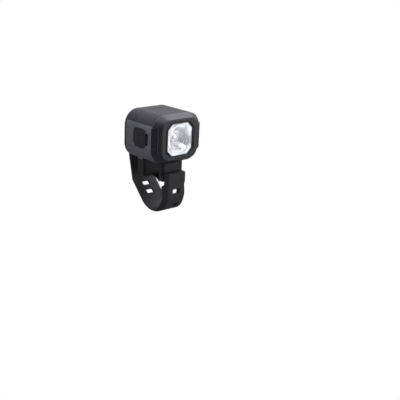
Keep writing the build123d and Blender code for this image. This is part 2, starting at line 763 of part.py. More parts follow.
def bracket():
    """Moulded bracket: saddle over the bar, ears for the strap's pin in front, block and hook behind."""
    half = bracket_width / 2
    base = boxed(-half, half, bracket_front, block_front, bracket_bottom, bracket_top)
    base = fillet(base.edges().filter_by(Axis.Z), bracket_edge)
    base = base - waist() - mirrored(waist())
    block = boxed(block_inset - half, half - block_inset, block_front - bracket_edge, block_rear,
                  block_bottom, block_top)
    block = fillet(block.edges().filter_by(Axis.Z), block_edge)
    base = base + block
    base = base + hook()
    ear_in = knuckle_width / 2 + move_gap
    ears = boxed(-half, half, pin_y, bracket_front + bracket_edge, pin_z - knuckle_radius, pin_z + knuckle_radius)
    ears = ears + x_rod(knuckle_radius, -half, half, pin_y, pin_z)
    base = base + ears
    base = base - boxed(-ear_in, ear_in, pin_y - overrun * 2, pin_y + knuckle_radius + move_gap,
                        bracket_bottom - overrun, pin_z + knuckle_radius + move_gap)
    base = base - boxed(-ear_in, ear_in, bracket_front - overrun, head_back + move_gap,
                        pin_z, strap_top + move_gap)
    base = base - x_rod(pin_radius + press_gap, -bracket_width, bracket_width, pin_y, pin_z)
    base = base - x_rod(bar_radius + pad_thick, -bracket_width, bracket_width)
    pocket_top = washer_z + lamp_height
    base = base - z_rod(swivel_head_radius + move_gap, 0, pocket_top)
    return base - z_rod(swivel_radius + run_gap, pocket_top - overrun, bracket_top + overrun)


def hook():
    """Hook behind the block: a bar through the tail's hole and a lip that stands up behind the tail."""
    low, high = hook_z - hook_bar / 2, hook_z + hook_bar / 2
    gap = strap_thick + 2 * move_gap
    low_along = (low - knee_z) / cos(radians(tail_lean))
    lip_in = tail_point(low_along + hook_bar + hook_lip, gap)
    lip_out = tail_point(low_along + hook_bar + hook_lip, gap + hook_bar)
    outline = [(block_rear - block_edge, block_bottom + block_edge), (block_rear - block_edge, low),
               (tail_point(low_along, gap + hook_bar)[0], low), lip_out, lip_in,
               (tail_point(low_along + hook_bar, gap)[0], high), (block_rear, high), (block_rear, block_bottom)]
    return extrude(x_plane(-hook_width / 2) * make_face(Polyline(*outline, close=True)), amount=hook_width)


def waist():
    """Long hollow in the bracket's left side."""
    chord = (block_front - bracket_front) / 2
    radius = (chord ** 2 + waist_depth ** 2) / (2 * waist_depth)
    middle = (block_front + bracket_front) / 2
    return z_rod(radius, 0, 2 * bracket_top, bracket_width / 2 - waist_depth + radius, middle)


def sector(radius, angle0, angle1):
    """A pie slice of the bar's cross section in the Y-Z plane, with angles from +Y towards +Z."""
    arc = CenterArc((0, 0), radius, angle0, angle1 - angle0)
    return make_face([arc, Line((0, 0), arc @ 0), Line(arc @ 1, (0, 0))])


def bracket_pad():
    """Rubber pad between the bracket and the bar."""
    start = 90 - pad_half_angle
    face = sector(bar_radius + pad_thick, start, start + 2 * pad_half_angle) - Circle(bar_radius)
    pad = extrude(x_plane(seat_gap - bracket_width / 2) * face, amount=bracket_width - 2 * seat_gap)
    return pad - boxed(-knuckle_width, knuckle_width, pin_y - overrun, pin_y + knuckle_radius, 0, pin_z)


# The strap's profile lies in the Y-Z plane: a thick head in front of the bar, a round part that thins out
# towards the rear, a straight run to the knee, and the tail that leans back from there.
outer_shift = (strap_head ** 2 - strap_thick ** 2 + 2 * bar_radius * (strap_head - strap_thick)) / (
    2 * (bar_radius + strap_head))
outer_radius = bar_radius + strap_head - outer_shift
knee_reach = hypot(knee_y, knee_z)
leave_angle = degrees(atan2(knee_z, knee_y) - acos(bar_radius / knee_reach))
head_front = -bar_radius - strap_head
head_back = bracket_front - move_gap


def leave_point():
    """Where the strap's inner face leaves the bar behind it."""
    return (bar_radius * cos(radians(leave_angle)), bar_radius * sin(radians(leave_angle)))


def tail_point(along, out):
    """A place on the tail: along it from the knee, and out from its inner face."""
    lean = radians(tail_lean)
    return (knee_y + along * sin(lean) + out * cos(lean), knee_z + along * cos(lean) - out * sin(lean))


def strap_profile():
    front_zone = [(0, 0), (2 * head_front, 0), (2 * head_front, 2 * head_front), (0, 2 * head_front)]
    rear_zone = [(0, 0), (0, 2 * head_front),
                 (-2 * head_front * cos(radians(leave_angle)), -2 * head_front * sin(radians(leave_angle)))]
    round_part = (Pos(-outer_shift, 0) * Circle(outer_radius)) & make_face(Polyline(*front_zone, close=True))
    round_part = round_part + (Circle(bar_radius + strap_thick) & make_face(Polyline(*rear_zone, close=True)))
    plate_back = pin_y - knuckle_radius - move_gap
    over_ears = pin_z + knuckle_radius + move_gap
    head = [(head_front, 0), (head_front, strap_top), (head_back, strap_top), (head_back, over_ears),
            (plate_back, over_ears), (plate_back, pin_z - knuckle_radius * 2),
            (-bar_radius * cos(radians(head_angle)), bar_radius * sin(radians(head_angle))), (-bar_radius / 2, 0)]
    head_face = make_face(Polyline(*head, close=True))
    corner = head_face.vertices().sort_by_distance((head_front, strap_top))[0]
    return round_part + fillet(corner, strap_edge) - Circle(bar_radius)


def strap_run():
    """The straight run from the bar to the knee and the tail, with the outer side edges bevelled."""
    leave_y, leave_z = leave_point()
    out_y, out_z = cos(radians(leave_angle)) * strap_thick, sin(radians(leave_angle)) * strap_thick
    outer = [tail_point(tail_length, strap_thick), tail_point(0, strap_thick), (knee_y + out_y, knee_z + out_z),
             (leave_y + out_y, leave_z + out_z)]
    outline = [(leave_y, leave_z), (knee_y, knee_z), tail_point(tail_length, 0)] + outer
    run = extrude(x_plane(-strap_width / 2) * make_face(Polyline(*outline, close=True)), amount=strap_width)
    bevel = strap_thick - strap_slope_start
    edges = [edge for edge in run.edges() if abs(edge.tangent_at(0.5).X) < 0.5 and on_line(edge, outer)]
    return chamfer(edges, bevel)


def on_line(edge, points):
    """True where both ends of an edge lie at places of a list in the Y-Z plane."""
    return all(any(hypot(end.Y - y, end.Z - z) < seat_gap for y, z in points) for end in edge.vertices())


def bar_hole(angle):
    """One oblong hole through the round part."""
    hole = Pos(bar_radius, 0, 0) * Box(strap_head * 4, hole_short, hole_long)
    hole = fillet(hole.edges().filter_by(Axis.X), hole_short / 3)
    outward = (0, cos(radians(angle)), sin(radians(angle)))
    return Plane(origin=(0, 0, 0), x_dir=outward, z_dir=(1, 0, 0)) * hole


def side_slope():
    """What the sloping left side takes off the strap: a cone under the bar, and straight up in front of it."""
    start = -bar_radius - strap_slope_start
    section = make_face(Polyline((strap_width / 2, start), (strap_face / 2, head_front),
                                 (strap_face / 2, 2 * head_front), (strap_width, 2 * head_front),
                                 (strap_width, start), close=True))
    cone = revolve(section, Axis.X) & boxed(0, strap_width, 2 * head_front, -2 * head_front, 2 * head_front, 0)
    return cone + extrude(section, amount=2 * strap_top)


def head_corner():
    """What rounds off the left top corner of the strap's head."""
    side, low = strap_width / 2, strap_top - head_corner_radius
    corner = boxed(side - head_corner_radius, strap_width, 2 * head_front, 0, low, 2 * strap_top)
    return corner - extrude(Plane(origin=(side - head_corner_radius, 0, low), x_dir=(1, 0, 0), z_dir=(0, -1, 0))
                            * Circle(head_corner_radius), amount=-3 * head_front, both=True)


def strap():
    """Moulded rubber strap: head with its knuckle on the pin, the part round the bar, the run and the tail."""
    half = strap_width / 2
    body = extrude(x_plane(-half) * strap_profile(), amount=strap_width)
    slopes = side_slope() + head_corner()
    body = body - slopes - mirrored(slopes) + strap_run()
    knuckle = x_rod(knuckle_radius, -knuckle_width / 2, knuckle_width / 2, pin_y, pin_z)
    neck = boxed(-knuckle_width / 2, knuckle_width / 2, head_front + strap_head / 2, pin_y,
                 pin_z - knuckle_radius, pin_z + knuckle_radius)
    body = body + knuckle + neck
    body = body - x_rod(pin_radius + press_gap, -strap_width, strap_width, pin_y, pin_z)
    pitch = degrees(hole_pitch / (bar_radius + strap_thick / 2))
    angle = hole_start
    while angle + pitch < 360 + leave_angle:
        body = body - bar_hole(angle)
        angle = angle + pitch
    for share in run_hole_shares:
        body = body - run_hole(share)
    along = (hook_z - knee_z) / cos(radians(tail_lean))
    return body - tail_hole(along)


def run_hole(share):
    """An oblong hole through the straight run, at a share of its length."""
    leave_y, leave_z = leave_point()
    y = leave_y + (knee_y - leave_y) * share
    z = leave_z + (knee_z - leave_z) * share
    return Pos(0, y, z) * Rot(leave_angle, 0, 0) * Box(hole_long, strap_thick * 4, hole_short)


def tail_hole(along):
    y, z = tail_point(along, strap_thick / 2)
    return Pos(0, y, z) * Rot(-tail_lean, 0, 0) * Box(hole_long, strap_thick * 4, hole_short)


def strap_pin():
    half = bracket_width / 2
    pin = x_rod(pin_radius, -half, half, pin_y, pin_z)
    for sign in (1, -1):
        pin = pin + x_rod(pin_end_radius, sign * half, sign * (half + pin_end), pin_y, pin_z)
    return pin


lamp_pieces = {
    "front_housing": front_housing,
    "window": window,
    "window_seal": window_seal,
    "optic": optic,
    "emitter": emitter,
    "emitter_board": emitter_board,
    "heat_sink": heat_sink,
    "head_screws": head_screws,
    "driver_board": driver_board,
    "head_plug": head_plug,
    "pack_contacts": pack_contacts,
    "latch_left": latch_left,
    "latch_right": lambda: mirrored(latch_left()),
    "latch_spring_left": latch_spring_left,
    "latch_spring_right": lambda: mirrored(latch_spring_left()),
    "lower_shell": lower_shell,
    "top_cover": top_cover,
    "side_panel_left": side_panel_left,
    "side_panel_right": side_panel_right,
    "port_cover": port_cover,
    "cell_holder": cell_holder,
    "battery_cells": battery_cells,
    "charge_board": charge_board,
    "charge_socket": charge_socket,
    "rear_cap": rear_cap,
    "rear_seal": rear_seal,
    "cap_screws": cap_screws,
    "status_guides": status_guides,
    "power_button": power_button,
    "button_board": button_board,
    "button_switch": button_switch,
    "swivel_foot": swivel_foot,
    "swivel_screw": swivel_screw,
    "swivel_nut": swivel_nut,
}
bracket_pieces = {
    "bracket": bracket,
    "bracket_pad": bracket_pad,
    "strap": strap,
    "strap_pin": strap_pin,
    "swivel_washer": swivel_washer,
}

os.makedirs("parts", exist_ok=True)
for name, make in lamp_pieces.items():
    export_step(Pos(0, 0, lamp_height) * make(), f"parts/{name}.step")
for name, make in bracket_pieces.items():
    export_step(make(), f"parts/{name}.step")
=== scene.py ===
import math

import bmesh
import bpy
from mathutils import Matrix, Vector


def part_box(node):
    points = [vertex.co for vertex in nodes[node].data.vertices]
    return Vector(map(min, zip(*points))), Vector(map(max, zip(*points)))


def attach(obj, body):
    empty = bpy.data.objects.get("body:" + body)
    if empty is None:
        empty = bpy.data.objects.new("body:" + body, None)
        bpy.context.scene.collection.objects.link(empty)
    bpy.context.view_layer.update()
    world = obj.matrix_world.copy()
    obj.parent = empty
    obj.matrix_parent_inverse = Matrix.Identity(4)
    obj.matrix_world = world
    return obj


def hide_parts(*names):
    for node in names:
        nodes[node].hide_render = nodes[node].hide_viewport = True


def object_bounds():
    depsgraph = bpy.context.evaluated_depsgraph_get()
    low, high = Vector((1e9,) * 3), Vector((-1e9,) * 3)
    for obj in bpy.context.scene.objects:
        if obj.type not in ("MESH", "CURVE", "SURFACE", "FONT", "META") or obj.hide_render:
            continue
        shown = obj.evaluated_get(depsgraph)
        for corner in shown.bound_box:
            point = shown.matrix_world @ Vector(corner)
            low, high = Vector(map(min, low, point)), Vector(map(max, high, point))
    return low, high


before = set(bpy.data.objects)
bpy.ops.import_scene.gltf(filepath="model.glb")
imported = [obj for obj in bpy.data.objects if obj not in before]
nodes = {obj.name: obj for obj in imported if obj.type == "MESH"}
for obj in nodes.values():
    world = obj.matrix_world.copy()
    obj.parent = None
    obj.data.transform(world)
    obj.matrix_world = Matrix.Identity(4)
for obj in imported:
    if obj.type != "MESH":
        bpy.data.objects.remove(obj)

cad_box = [list(corner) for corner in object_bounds()]


# Front housing: moulded in dark grey plastic with a fine spark-eroded surface, in one shot with the
# collar that slides into the power pack. It is the tapered frame round the window.
MM = 0.001


def span(name, axis):
    """Where a CAD node begins and ends along X, Y or Z, in millimetres."""
    low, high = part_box(name)
    return low[axis] / MM, high[axis] / MM


class Wire:
    """One socket of a finish, with the arithmetic that the finishes use."""

    def __init__(self, finish, socket):
        self.finish = finish
        self.socket = socket

    def math(self, operation, first, second=0.0):
        return self.finish.node("ShaderNodeMath", {"operation": operation}, {0: first, 1: second})

    def __add__(self, other):
        return self.math("ADD", self, other)

    def __radd__(self, other):
        return self.math("ADD", other, self)

    def __sub__(self, other):
        return self.math("SUBTRACT", self, other)

    def __rsub__(self, other):
        return self.math("SUBTRACT", other, self)

    def __mul__(self, other):
        return self.math("MULTIPLY", self, other)

    def __rmul__(self, other):
        return self.math("MULTIPLY", other, self)

    def __pow__(self, other):
        return self.math("POWER", self, other)

    def __abs__(self):
        return self.math("ABSOLUTE", self)

    def __gt__(self, other):
        return self.math("GREATER_THAN", self, other)

    def __lt__(self, other):
        return self.math("LESS_THAN", self, other)


class Finish:
    """A material, or the studio's world, under construction: nodes are added one by one, then closed."""

    def __init__(self, name, shelf=bpy.data.materials, place="Object"):
        self.holder = shelf.new(name)
        self.holder.use_nodes = True
        self.tree = self.holder.node_tree
        self.tree.nodes.clear()
        self.place = self.node("ShaderNodeTexCoord", {}, {}, place)

    def node(self, kind, settings, values, output=0):
        made = self.tree.nodes.new(kind)
        for name, value in settings.items():
            if name == "stops":
                ramp = made.color_ramp
                for i, (at, grey) in enumerate(value):
                    stop = ramp.elements[i] if i < 2 else ramp.elements.new(at)
                    stop.position = at
                    stop.color = (grey, grey, grey, 1)
            else:
                setattr(made, name, value)
        for name, value in values.items():
            socket = made.inputs[name]
            if isinstance(value, Wire):
                self.tree.links.new(value.socket, socket)
            elif socket.type == "RGBA":
                socket.default_value = (*value, 1)
            else:
                socket.default_value = value
        return Wire(self, made.outputs[output])

    def noise(self, per_mm, detail=2.0, place=None):
        return self.node("ShaderNodeTexNoise", {}, {"Vector": place or self.place, "Scale": per_mm / MM,
                                                    "Detail": detail})

    def cells(self, per_mm):
        """Distance from the middles of scattered cells."""
        return self.node("ShaderNodeTexVoronoi", {}, {"Vector": self.place, "Scale": per_mm / MM}, "Distance")

    def ramp(self, wire, *stops):
        return self.node("ShaderNodeValToRGB", {"stops": stops}, {"Fac": wire})

    def blend(self, amount, first, second):
        """A colour between two colours."""
        return self.node("ShaderNodeMix", {"data_type": "RGBA"}, {0: amount, 6: first, 7: second}, 2)

    def mix(self, amount, first, second):
        """A shader between two shaders."""
        return self.node("ShaderNodeMixShader", {}, {0: amount, 1: first, 2: second})

    def dot(self, first, second):
        return self.node("ShaderNodeVectorMath", {"operation": "DOT_PRODUCT"}, {0: first, 1: second}, "Value")

    def bump(self, height, depth_mm, strength, normal=None):
        values = {"Height": height, "Distance": depth_mm * MM, "Strength": strength}
        if normal:
            values["Normal"] = normal
        return self.node("ShaderNodeBump", {}, values)

    def rounded(self, radius_mm):
        """Normals that round an edge off."""
        return self.node("ShaderNodeBevel", {"samples": 6}, {"Radius": radius_mm * MM})

    def along(self, axis):
        """Place along X, Y or Z in millimetres."""
        return self.node("ShaderNodeSeparateXYZ", {}, {"Vector": self.place}, axis) * (1 / MM)

    def wave(self, wire, pitch_mm):
        """0 to 1 and back, once in every pitch."""
        return self.node("ShaderNodeMath", {"operation": "PINGPONG"}, {0: wire * (2 / pitch_mm), 1: 1.0})

    def edges(self, radius_mm):
        """1 on an outer or inner edge, 0 on a flat face."""
        flat = self.node("ShaderNodeNewGeometry", {}, {}, "Normal")
        return self.ramp(1.0 - self.dot(self.rounded(radius_mm), flat), (0.02, 0), (0.25, 1))

    def surface(self, **values):
        """Closes the material with a plain surface; a value's name is its socket's, with _ for a space."""
        named = {name.replace("_", " "): value for name, value in values.items()}
        return self.close(self.node("ShaderNodeBsdfPrincipled", {}, named))

    def close(self, shader, kind="ShaderNodeOutputMaterial"):
        self.tree.links.new(shader.socket, self.tree.nodes.new(kind).inputs["Surface"])
        return self.holder


def toned(colour, times, more=0.0):
    """The colour made lighter or darker."""
    return tuple(min(1.0, c * times + more) for c in colour)


def moulded(name, colour, roughness, grain_per_mm, grain_mm, edge_mm, edge_highlight=0.35, seam_highlight=None):
    """Moulded plastic: a sparked surface, a little random shade in the colour, and edges painted lighter as a
    highlight.
    A seam highlight is an axis, a place along it and a width, where a lighter band is painted as the
    highlight that the moulding's rounded edge catches."""
    finish = Finish(name)
    cloud = finish.noise(0.05, 3.0)
    grain = finish.noise(grain_per_mm, 1.0)
    shade = finish.blend(finish.ramp(cloud, (0.3, 0), (0.7, 1)), toned(colour, 0.82), colour)
    # Painted highlight: the edges are painted lighter, and a band by the seam lighter still, for the light
    # that rounded edges catch.
    edge_highlit = finish.blend(finish.edges(edge_mm) * (0.5 + cloud), shade, toned(colour, 1 + edge_highlight, 0.012))
    if seam_highlight:
        axis, place, width = seam_highlight
        away = abs(finish.along(axis) - place) * (1 / width)
        edge_highlit = finish.blend(finish.ramp(away, (0.25, 0.7), (1.0, 0)), edge_highlit, toned(colour, 2.4, 0.05))
    return finish.surface(
        Base_Color=edge_highlit,
        Roughness=roughness - 0.06 + grain * 0.12,
        Normal=finish.bump(grain, grain_mm, 0.6, finish.rounded(edge_mm)))


def dress(material, *names):
    """Gives whole CAD nodes one finish."""
    for name in names:
        obj = nodes[name]
        obj.data.materials.clear()
        obj.data.materials.append(material)
        for face in obj.data.polygons:
            face.material_index = 0


HOUSING_GREY = (0.046, 0.046, 0.064)
SEAM_GAP = 0.1  # from the top cover's front edge to the middle of the seam
housing_seam = span("top_cover", 1)[0] - SEAM_GAP
# The housing's edges, and the band by its seam with the top cover, carry a strong painted highlight.
dress(moulded("housing_plastic", HOUSING_GREY, roughness=0.44, grain_per_mm=3.0, grain_mm=0.02, edge_mm=0.45,
              edge_highlight=1.6, seam_highlight=(1, housing_seam, 0.55)), "front_housing")


# Power pack: a tray and two glued side panels in smooth satin plastic, a top cover with a fine
# leather-like grain, and a black cap that closes the rear.
PACK_GREY = (0.205, 0.205, 0.252)
PANEL_GREY = (0.22, 0.22, 0.272)
COVER_BLACK = (0.034, 0.034, 0.046)
CAP_BLACK = (0.020, 0.020, 0.029)


def grained(name, colour):
    """Moulded leather grain: pebbles about 1 mm across with creases between them."""
    finish = Finish(name)
    pebble = finish.cells(0.95)
    small = finish.cells(2.3)
    height = finish.ramp(pebble, (0.0, 1), (0.75, 0)) * 0.7 + finish.ramp(small, (0.0, 1), (0.8, 0)) * 0.3
    cloud = finish.noise(0.06, 3.0)
    light = toned(colour, 1.9, 0.01)
    # Painted shade and highlight: the creases between pebbles are painted darker and their crests lighter, as
    # light falls on the grain; the pale cloud patches are the grain's own tone.
    crest = finish.blend(height, toned(colour, 0.6), light)
    return finish.surface(
        Base_Color=finish.blend(finish.ramp(cloud, (0.35, 0), (0.7, 0.4)), crest, light),
        Roughness=0.60 - height * 0.16,
        Normal=finish.bump(height, 0.20, 1.0, finish.rounded(0.3)))


panel_foot = span("side_panel_left", 2)[0]
dress(moulded("pack_plastic", PACK_GREY, roughness=0.42, grain_per_mm=3.0, grain_mm=0.015, edge_mm=0.3),
      "lower_shell")
# The side panels carry a painted highlight along their foot, where their edge rounds under.
dress(moulded("panel_plastic", PANEL_GREY, roughness=0.40, grain_per_mm=4.0, grain_mm=0.01, edge_mm=0.3,
              seam_highlight=(2, panel_foot, 0.5)), "side_panel_left", "side_panel_right")
dress(grained("cover_grain", COVER_BLACK), "top_cover")
dress(moulded("cap_plastic", CAP_BLACK, roughness=0.40, grain_per_mm=3.0, grain_mm=0.02, edge_mm=0.3),
      "rear_cap")


# Window seal: a black rubber frame that shows as the dark border round the optic. A soft bead runs
# round it where it presses on the pane, and a thin collar shades the optic's sides.
SEAL_BLACK = (0.010, 0.010, 0.011)
LAMP_Z = sum(span("rear_cap", 2)) / 2  # the lamp's centre above the bar's axis
seal_front, seal_back = span("window_seal", 1)
# Outlines are a half width, a half height and the size of the cut corners. Rows add a place in depth.
flange = (span("window_seal", 0)[1], span("window_seal", 2)[1] - LAMP_Z, 5.6)
collar_outside = (13.97, 14.57, 5.0)
collar_inside = (13.85, 14.45, 5.0)
collar_front = -22.45


def octagon(half_width, half_height, corner, y, points_a_side=6):
    """Points round a rectangle with its corners cut off, at a depth in the lamp."""
    w, h, c = half_width, half_height, corner
    bends = [(w, c - h), (w, h - c), (w - c, h), (c - w, h),
             (-w, h - c), (-w, c - h), (c - w, -h), (w - c, -h)]
    points = []
    for (x0, z0), (x1, z1) in zip(bends, bends[1:] + bends[:1]):
        for i in range(points_a_side):
            share = i / points_a_side
            points.append((x0 + (x1 - x0) * share, y, LAMP_Z + z0 + (z1 - z0) * share))
    return points


def skin(mesh, rings, around=False):
    """Draws a closed loop of edges out from ring to ring; all rings have the same count of points. The
    ends are filled, or the last ring is joined to the first where the surface goes around."""
    start = corners = [mesh.verts.new(Vector(point) * MM) for point in rings[0]]
    start_edges = edges = [mesh.edges.new(pair) for pair in zip(corners[1:] + corners[:1], corners)]
    for ring in rings[1:] + (rings[:1] if around else []):
        drawn = set(bmesh.ops.extrude_edge_only(mesh, edges=edges)["geom"])
        corners = [next(edge.other_vert(corner) for edge in corner.link_edges
                        if edge.other_vert(corner) in drawn) for corner in corners]
        for corner, point in zip(corners, ring):
            corner.co = Vector(point) * MM
        edges = [mesh.edges.get(pair) for pair in zip(corners, corners[1:] + corners[:1])]
    if around:
        bmesh.ops.remove_doubles(mesh, verts=start + corners, dist=0.001 * MM)
    else:
        for end in (start_edges, edges):
            bmesh.ops.edgeloop_fill(mesh, edges=end)


def piece(name, mesh, material, body, stands_for=(), bevel_mm=0.0, sharp=40.0):
    """Turns a mesh into a piece of the lamp: its finish, its rounding, its body and the nodes it replaces."""
    bmesh.ops.recalc_face_normals(mesh, faces=mesh.faces)
    data = bpy.data.meshes.new(name)
    mesh.to_mesh(data)
    mesh.free()
    data.materials.append(material)
    data.shade_smooth()
    data.set_sharp_from_angle(angle=math.radians(sharp))
    made = bpy.data.objects.new(name, data)
    bpy.context.scene.collection.objects.link(made)
    if bevel_mm:
        bevel = made.modifiers.new("rounding", "BEVEL")
        bevel.width = bevel_mm * MM
        bevel.segments = 2
        bevel.limit_method = "ANGLE"
        bevel.angle_limit = math.radians(sharp)
    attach(made, body)
    if stands_for:
        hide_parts(*stands_for)


def rubber(name, colour, roughness=0.66):
    """Moulded rubber: matt, a little cloudy, with edges painted paler as a highlight and dust in its fine
    texture.
    """
    finish = Finish(name)
    cloud = finish.noise(0.10, 3.0)
    fine = finish.noise(3.5, 2.0)
    dust = finish.ramp(finish.noise(0.55, 4.0), (0.52, 0), (0.8, 1))
    shade = finish.blend(cloud, toned(colour, 0.84), toned(colour, 1.14))
    # Painted highlight: the edges are painted paler.
    shade = finish.blend(finish.edges(0.5) * 0.6, shade, toned(colour, 1.5, 0.012))
    return finish.surface(
        Base_Color=finish.blend(dust * 0.10, shade, (0.20, 0.20, 0.20)),
        Roughness=roughness + fine * 0.14 - dust * 0.05,
        Normal=finish.bump(fine, 0.02, 0.6, finish.rounded(0.15)))


seal_rows = [
    (*flange, seal_front + 0.45), (17.4, 16.6, 5.5, seal_front + 0.1),
    (16.0, 15.8, 5.3, seal_front), (15.2, 15.3, 5.2, seal_front + 0.25), (14.4, 14.9, 5.1, seal_front),
    (*collar_outside, seal_front - 0.05), (*collar_outside, collar_front + 0.1),
    (*collar_inside, collar_front), (*collar_inside, seal_back), (*flange, seal_back)]
seal_mesh = bmesh.new()
skin(seal_mesh, [octagon(*row) for row in seal_rows], around=True)
piece("window_frame_seal", seal_mesh, rubber("seal_black", SEAL_BLACK), "lamp", ("window_seal",))


# Window: a clear polycarbonate cover. Its flange sits behind the front housing's lip, and the eight-sided
# middle stands a little proud with a bevelled edge and is hollow behind, over the optic.
WINDOW_TINT = (0.97, 0.975, 0.98)
EDGE_GLINT_WHITE = (0.85, 0.86, 0.88)
plate_front = span("window", 1)[0]
pane_front = plate_front - 0.85
pane_back = pane_front + 0.75
flange_front = plate_front + 0.75
pane_seat = seal_front - 0.1
middle = (5.0, 5.0, 2.0)
plate = (16.4, 15.6, 5.6)
hollow = (14.0, 14.6, 5.0)


def clear(name, tint, roughness):
    """Clear plastic: it lets light straight through, shines on the outside, and its edges carry a painted
    white highlight.
    """
    finish = Finish(name)
    gloss = finish.node("ShaderNodeFresnel", {}, {"IOR": 1.5})
    outside = 1.0 - finish.node("ShaderNodeNewGeometry", {}, {}, "Backfacing")
    smear = finish.noise(0.12, 2.0)
    through = finish.node("ShaderNodeBsdfTransparent", {}, {"Color": tint})
    shine = finish.node("ShaderNodeBsdfGlossy", {},
                        {"Color": (1.0, 1.0, 1.0), "Roughness": roughness + smear * roughness})
    edge_glint = finish.node("ShaderNodeBsdfDiffuse", {}, {"Color": EDGE_GLINT_WHITE})
    # Painted highlight: a pale diffuse white on the pane's edges.
    rim = finish.mix(finish.edges(0.35) * 0.35, through, edge_glint)
    return finish.close(finish.mix(gloss * outside, rim, shine))


pane_rows = [
    (*middle, pane_front), (14.0, 14.5, 5.0, pane_front), (14.3, 14.8, 5.1, pane_front + 0.2),
    (14.5, 15.0, 5.2, plate_front), (16.25, 15.45, 5.55, plate_front), (*plate, plate_front + 0.15),
    (*plate, flange_front), (*flange, flange_front), (*flange, pane_seat),
    (*hollow, pane_seat), (*hollow, pane_back), (*middle, pane_back)]
pane_mesh = bmesh.new()
skin(pane_mesh, [octagon(*row) for row in pane_rows])
piece("window_cover", pane_mesh, clear("window_clear", WINDOW_TINT, 0.04), "lamp", ("window",),
      sharp=15.0)


# Optic: a moulded lens block, silvered behind. A bevelled eight-sided rim stands round a stepped bowl
# with a lens in its middle, two small lenses low in the bowl and five flutes between them and the middle.
# The optic is no lamp, yet it glows: its glow is painted light, with painted white highlights on its edges.
SILVER, SILVER_EDGE_HIGHLIGHT = (0.78, 0.79, 0.82), (1.0, 1.0, 1.0)
PAINTED_SHADE_GLOW, PAINTED_LIGHT_GLOW = (0.09, 0.09, 0.10), (0.85, 0.86, 0.89)
optic_wall = (13.8, 14.4, 5.0)
optic_foot = (16.3, 15.6, 7.5)
foot_back, foot_front = seal_back + 1.15, seal_back + 0.05
rim_front = -22.7
rim_slope = 0.3
BOWL_FLOOR, BOWL_DEPTH, BOWL_RADIUS = -14.2, 7.9, 11.2
BOWL_STEPS, STEP_WIDTH = 6, 1.35
LENS_X, LENS_Z, LENS_SIZE = 2.7, -9.4, (1.5, 1.5, 1.5)
FLUTE_PITCH, FLUTE_Z, FLUTE_SIZE = 1.5, -5.6, (0.5, 0.6, 1.5)


def circle(radius, y):
    """A circle with its points in the directions of an octagon's, so that skin() joins the two."""
    flat = [(x, z - LAMP_Z) for x, _, z in octagon(*optic_wall, 0)]
    return [(radius * x / math.hypot(x, z), y, LAMP_Z + radius * z / math.hypot(x, z)) for x, z in flat]


def bowl_y(radius):
    """Depth of the bowl at a distance from its middle."""
    return BOWL_FLOOR - BOWL_DEPTH * (radius / BOWL_RADIUS) ** 2


def lenslet(mesh, x, z, half_size):
    """A small lens or flute on the bowl's wall."""
    spot = Matrix.Translation(Vector((x, bowl_y(math.hypot(x, z)), LAMP_Z + z)) * MM)
    shape = Matrix.Diagonal((*(size * MM for size in half_size), 1))
    bmesh.ops.create_uvsphere(mesh, u_segments=14, v_segments=8, radius=1.0, matrix=spot @ shape)


bowl_rings = []
for step in range(BOWL_STEPS):
    crest = BOWL_RADIUS - step * STEP_WIDTH
    bowl_rings += [circle(crest, bowl_y(crest) - 0.12), circle(crest - 0.35, bowl_y(crest) + 0.45),
                   circle(crest - 1.0, bowl_y(crest - 1.0) + 0.2)]
back_rings = [circle(2.4, -13.2), circle(4.6, -12.3), circle(12.5, -18.7),
              octagon(*optic_foot, foot_back), octagon(*optic_foot, foot_front)]
rim_rings = [octagon(*optic_wall, seal_back), octagon(*optic_wall, rim_front + rim_slope),
             octagon(13.5, 14.1, 4.9, rim_front), octagon(12.9, 13.5, 4.6, rim_front),
             octagon(12.6, 13.2, 4.5, rim_front + rim_slope), octagon(12.3, 12.9, 4.6, -21.4),
             circle(12.1, -21.4), circle(11.9, rim_front + rim_slope), circle(11.6, -22.6)]
lens_rings = [circle(2.7, -14.4), circle(2.5, -15.2), circle(1.8, -15.9), circle(0.8, -16.2)]
optic_mesh = bmesh.new()
skin(optic_mesh, back_rings + rim_rings + bowl_rings + lens_rings)
for x in (-LENS_X, LENS_X):
    lenslet(optic_mesh, x, LENS_Z, LENS_SIZE)
for place in (-2, -1, 0, 1, 2):
    lenslet(optic_mesh, place * FLUTE_PITCH, FLUTE_Z, FLUTE_SIZE)

silver = Finish("optic_silver")
facet = silver.cells(0.55)
# Painted reflection and shade: patches of painted glare, and a glow bright in the middle and at the rim, dark
# between.
painted_glare = silver.ramp(silver.noise(0.16, 2.0), (0.35, 0.25), (0.62, 1.0))
from_middle = silver.node("ShaderNodeMath", {"operation": "SQRT"},
                          {0: silver.along(0) ** 2.0 + (silver.along(2) - LAMP_Z) ** 2.0})
painted_glow = silver.ramp(from_middle * (1 / 14), (0.0, 0.9), (0.25, 0.7), (0.40, 0.25), (0.66, 0.2), (0.84, 0.9))
painted_bowl_light = silver.blend(painted_glow * painted_glare, PAINTED_SHADE_GLOW, PAINTED_LIGHT_GLOW)
silver_finish = silver.surface(
    Base_Color=silver.blend(silver.edges(0.4), SILVER, SILVER_EDGE_HIGHLIGHT),
    Metallic=0.75, Roughness=0.10 + facet * 0.14,
    Emission_Color=silver.blend(silver.edges(0.3) * 0.8, painted_bowl_light, SILVER_EDGE_HIGHLIGHT),
    Emission_Strength=0.75,
    Normal=silver.bump(facet, 0.05, 0.5))
piece("optic_block", optic_mesh, silver_finish, "lamp", ("optic",), sharp=28.0)


